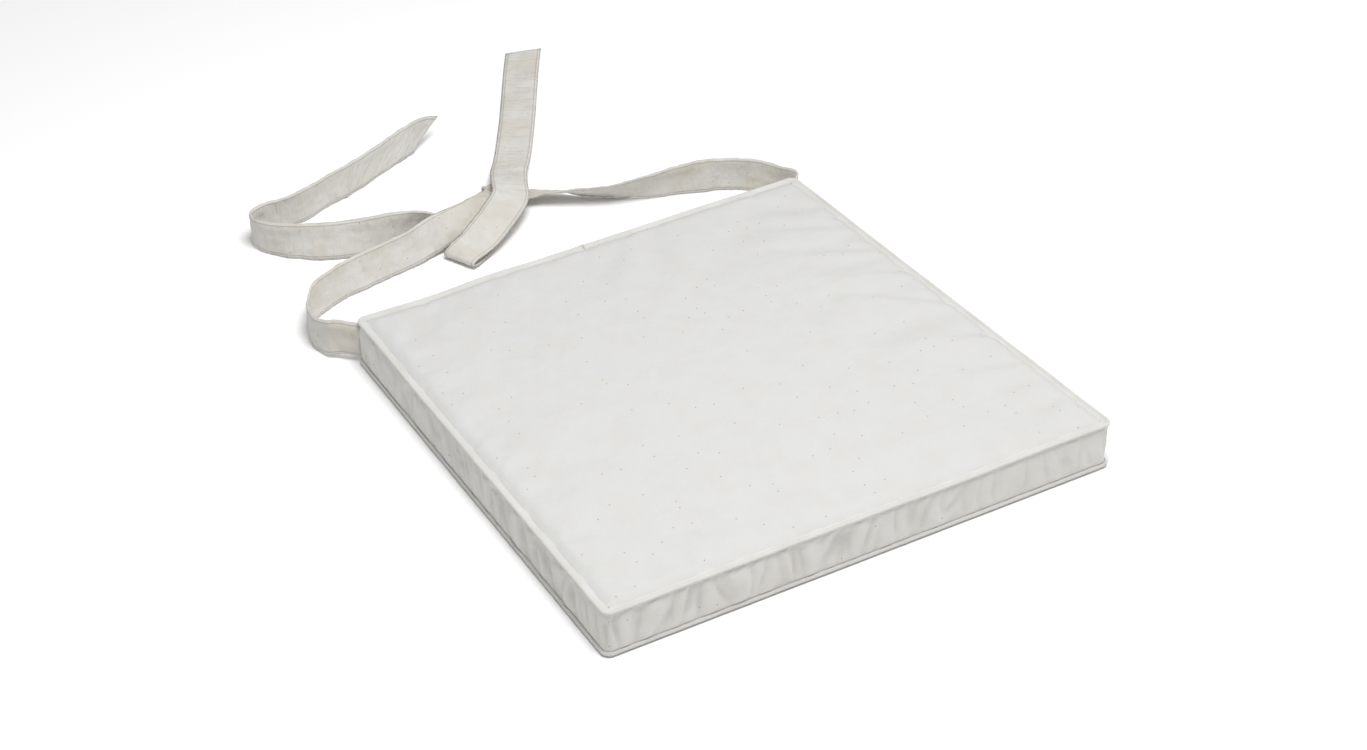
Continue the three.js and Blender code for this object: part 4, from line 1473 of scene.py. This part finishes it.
@dataclass
class Tie:
    """A flat sewn strap: from its corner seam, round and through the knot, to a slanted end."""

    outline: Outline
    side: Side
    route: Route
    end_slant: float
    width: float = FULL_WIDTH
    thickness: float = 1.6 * MM
    sewn_length: float = 7.3 * MM
    lead: float = 9.6 * MM
    seam_z: float = 20.2 * MM
    pivot_y: float = 202.5 * MM
    band_inset: float = 1.4 * MM
    spacing: float = 2.6 * MM
    end_ramp: float = 3.0
    stitch_pitch: float = 3.0 * MM
    stitch_at: float = 0.44
    faces_across: int = 16
    round_edge: float = 0.035
    table_steps: int = 1600
    path_steps: int = 140

    def __post_init__(self) -> None:
        """Put the stations in the corner seam before those of the route."""
        seam = 0.0 if self.side is Side.LEFT else self.outline.right_seam
        inset = self.band_inset

        def level(distance: float) -> Station:
            """Return a station straight out of the corner seam."""
            point = self.outline.place(seam, inset - distance, self.seam_z)
            return (tuple(point), UP, self.width)

        stations = [level(-2.5 * MM), level(self.sewn_length), level(self.sewn_length + self.lead)]
        self.stations = stations + list(self.route)
        self.middle_knots = [Vector(p) for p, _, _ in self.stations]
        self.width_knots = [Vector(w) for _, w, _ in self.stations]
        count = self.table_steps
        self.table = [0.0]
        before = self.middle(0.0)
        for step in range(1, count + 1):
            here = self.middle(step / count)
            self.table.append(self.table[-1] + (here - before).length)
            before = here
        self.length = self.table[-1]

    def middle(self, t: float) -> Vector:
        """Return the strap's middle at a share of its stations."""
        return curve_point(self.middle_knots, t)

    def share_at(self, distance: float) -> float:
        """Return the share of the stations that lies a distance along the strap."""
        low = find_span(self.table, distance)
        span = self.table[low + 1] - self.table[low]
        return (low + min((distance - self.table[low]) / span, 1.0)) / (len(self.table) - 1)

    def gathered(self, t: float) -> float:
        """Return the strap's width where it may be gathered."""
        place = t * (len(self.stations) - 1)
        i = min(int(place), len(self.stations) - 2)
        return self.stations[i][2] + (self.stations[i + 1][2] - self.stations[i][2]) * (place - i)

    def axes(self, t: float) -> tuple[Vector, Vector, Vector]:
        """Return the ways along, across and out of the strap."""
        step = 0.0004
        along = (self.middle(t + step) - self.middle(t - step)).normalized()
        across = curve_point(self.width_knots, t)
        across = (across - along * across.dot(along)).normalized()
        return along, across, along.cross(across)

    def crease_shade_and_stain(self, distance: float, across: float, t: float) -> tuple[float, float]:
        """Return how far the cloth stands off its middle line, and its share of painted fold shade and
        real stain there.
        """
        seed = 11.0 if self.side is Side.LEFT else 23.0
        slack = 1 - self.gathered(t) / self.width
        start = smooth_step(0.004, 0.03, distance)
        lean = distance + 0.35 * self.width * across
        y = across * self.width
        ripple = 1.1 * MM * grain(lean, y * 0.35, 0.014, seed)
        crush = 0.55 * MM * grain(distance, y, 0.006, seed + 9)
        long = 0.5 * MM * grain(distance * 0.25, y, 0.006, seed + 5)
        edge = smooth_step(0.3, 0.5, abs(across))
        pucker = 0.7 * MM * edge * grain(distance, across, 0.0045, seed + 13)
        pleat = 1.1 * MM * slack * math.cos(TURN * 2.4 * across + 9 * grain(distance, 0, 0.05, seed))
        root = 0.9 * MM * (1 - smooth_step(0.0, 0.03, distance)) * math.cos(TURN * 2 * across)
        height = start * (ripple + crush + long + pucker) + pleat + root
        stain = smooth_step(0.0, 0.35, grain(lean, y * 0.6, 0.035, seed + 2))
        # the share is partly real stain and partly painted shade, darker where the strap is gathered
        # into pleats and where the cloth sinks into a fold
        deep = min(abs(slack) * 2.0 + 0.55 * stain + max(-height / MM, 0.0) * 0.5, 1.0)
        return height, deep

    def reach(self, distance: float, across: float) -> float:
        """Return the share of the stations for a spot, allowing for the slanted end."""
        even = self.share_at(distance)
        ramp = max(0.0, 1 - (1 - even) / abs(self.end_ramp * self.end_slant))
        return even - (abs(self.end_slant) / 2 - self.end_slant * across) * ramp

    def surface(self, distance: float, across: float, off: float) -> Vector:
        """Return a point in the strap.

        Args:
            distance: metres along the strap.
            across: share of the width, from -0.5 to 0.5.
            off: share of the thickness, from -0.5 on one face to 0.5 on the other.

        Returns:
            The point.
        """
        t = self.reach(distance, across)
        width = self.gathered(t)
        along, side, out = self.axes(t)
        height, _ = self.crease_shade_and_stain(distance, across, t)
        calm = min(1.0, (self.middle(t).z + 2 * MM) / (8 * MM)) if abs(side.z) < 0.5 else 1.0
        thick = self.thickness * (self.width / width) ** 0.5
        hem = 0.14 * MM * (smooth_step(0.2, 0.28, abs(across)) - hump(abs(across), self.stitch_at, 0.02))
        point = self.middle(t) + side * (across * width)
        point += out * (height * calm + off * (thick + 2 * hem))
        point.z = max(point.z, 0.15 * MM)
        return point

    def build(self, wardrobe: Wardrobe) -> None:
        """Make the strap and its edge stitching."""

        def ring(v: float) -> tuple[float, float]:
            """Return the share across and off for a share of the way round the section."""
            way = v * 2
            front = way < 1
            run = way if front else way - 1
            across = -0.5 + run if front else 0.5 - run
            round_off = min((0.5 - abs(across)) / self.round_edge, 1.0)
            off = 0.5 * math.sqrt(max(1 - (1 - round_off) ** 2, 0.0))
            return across, off if front else -off

        def place(u: float, v: float) -> Vector:
            """Return a spot on the strap's skin."""
            across, off = ring(v / (2 * self.width))
            pinch = math.sqrt(min(min(u, self.length - u) / (0.9 * MM), 1.0))
            return self.surface(u, across, off * pinch)

        steps = round(self.length / self.spacing)
        name = f"{self.side.value}_tie_strap"
        laid = lay_grid(name, (self.length, 2 * self.width), (steps, 2 * self.faces_across), place)
        # painted fold shade and real stain, for the finish to darken
        mark_crease_shade_and_stain(laid.piece, [self.crease_shade_and_stain_share(u, v) for u, v in laid.spots])
        close_tube(laid.piece)
        wardrobe.dress(laid.piece, TIE_COTTON)
        stitches = self.stitch(wardrobe)
        for piece in (laid.piece, stitches):
            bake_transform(piece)
        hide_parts(f"tie_{self.side.value}", f"tie_{self.side.value}_sewn_end")
        longer = math.copysign(0.1, self.end_slant)
        path = [
            self.middle(self.reach(self.length * k / self.path_steps, longer))
            for k in range(self.path_steps + 1)
        ]
        length = sum((b - a).length for a, b in zip(path, path[1:]))
        tuple(self.middle_knots[0])
        [tuple(p) for p in path]
        log.info("%s tie: %.3f m long", self.side.value, length)

    def crease_shade_and_stain_share(self, u: float, v: float) -> float:
        """Return the strap's share of painted fold shade and real stain at a spot of its grid."""
        way = v / self.width
        across = -0.5 + way if way < 1 else 1.5 - way
        return self.crease_shade_and_stain(u, across, self.share_at(u))[1]

    def stitch(self, wardrobe: Wardrobe) -> bpy.types.Object:
        """Sew a row along each edge, showing on both faces."""
        margin = 3 * MM
        count = int((self.length - 2 * margin) / self.stitch_pitch)
        row = []
        for across in (-self.stitch_at, self.stitch_at):
            for face in (-0.5, 0.5):
                for index in range(count):
                    u = margin + index * self.stitch_pitch
                    here = self.surface(u, across, face)
                    ahead = self.surface(u + 0.4 * MM, across, face)
                    inner = self.surface(u, across, 0.0)
                    row.append((here, ahead - here, here - inner))
        piece = sew(f"{self.side.value}_tie_stitches", row, (2.2 * MM, 0.36 * MM, 0.3 * MM))
        wardrobe.dress(piece, SEWING_THREAD)
        return piece


# ---------------------------------------------------------------- everything


def main() -> None:
    """Build the whole pad, camera and ties first."""
    logging.basicConfig(level=logging.INFO, format="%(message)s")
    wardrobe = Wardrobe()
    studio = Studio()
    studio.place_camera()
    outline = Outline()
    for side, route, slant in (
        (Side.LEFT, LEFT_ROUTE, -0.006),
        (Side.RIGHT, RIGHT_ROUTE, 0.056),
    ):
        Tie(outline, side, route, slant).build(wardrobe)
    studio.light()
    studio.lay_table(wardrobe)
    for face in Face:
        Panel(outline, face).build(wardrobe)
        log.info("%s panel", face.value)
        Piping(outline, face).build(wardrobe)
        log.info("%s piping", face.value)
    FoamCore(outline).build(wardrobe)
    log.info("foam")
    SideBand(outline).build(wardrobe)
    log.info("side band")
    for lip in Lip:
        RearBand(outline, lip).build(wardrobe)
    log.info("rear bands")
    Zip().build(wardrobe)
    log.info("zip")


if __name__ == "__main__":
    main()
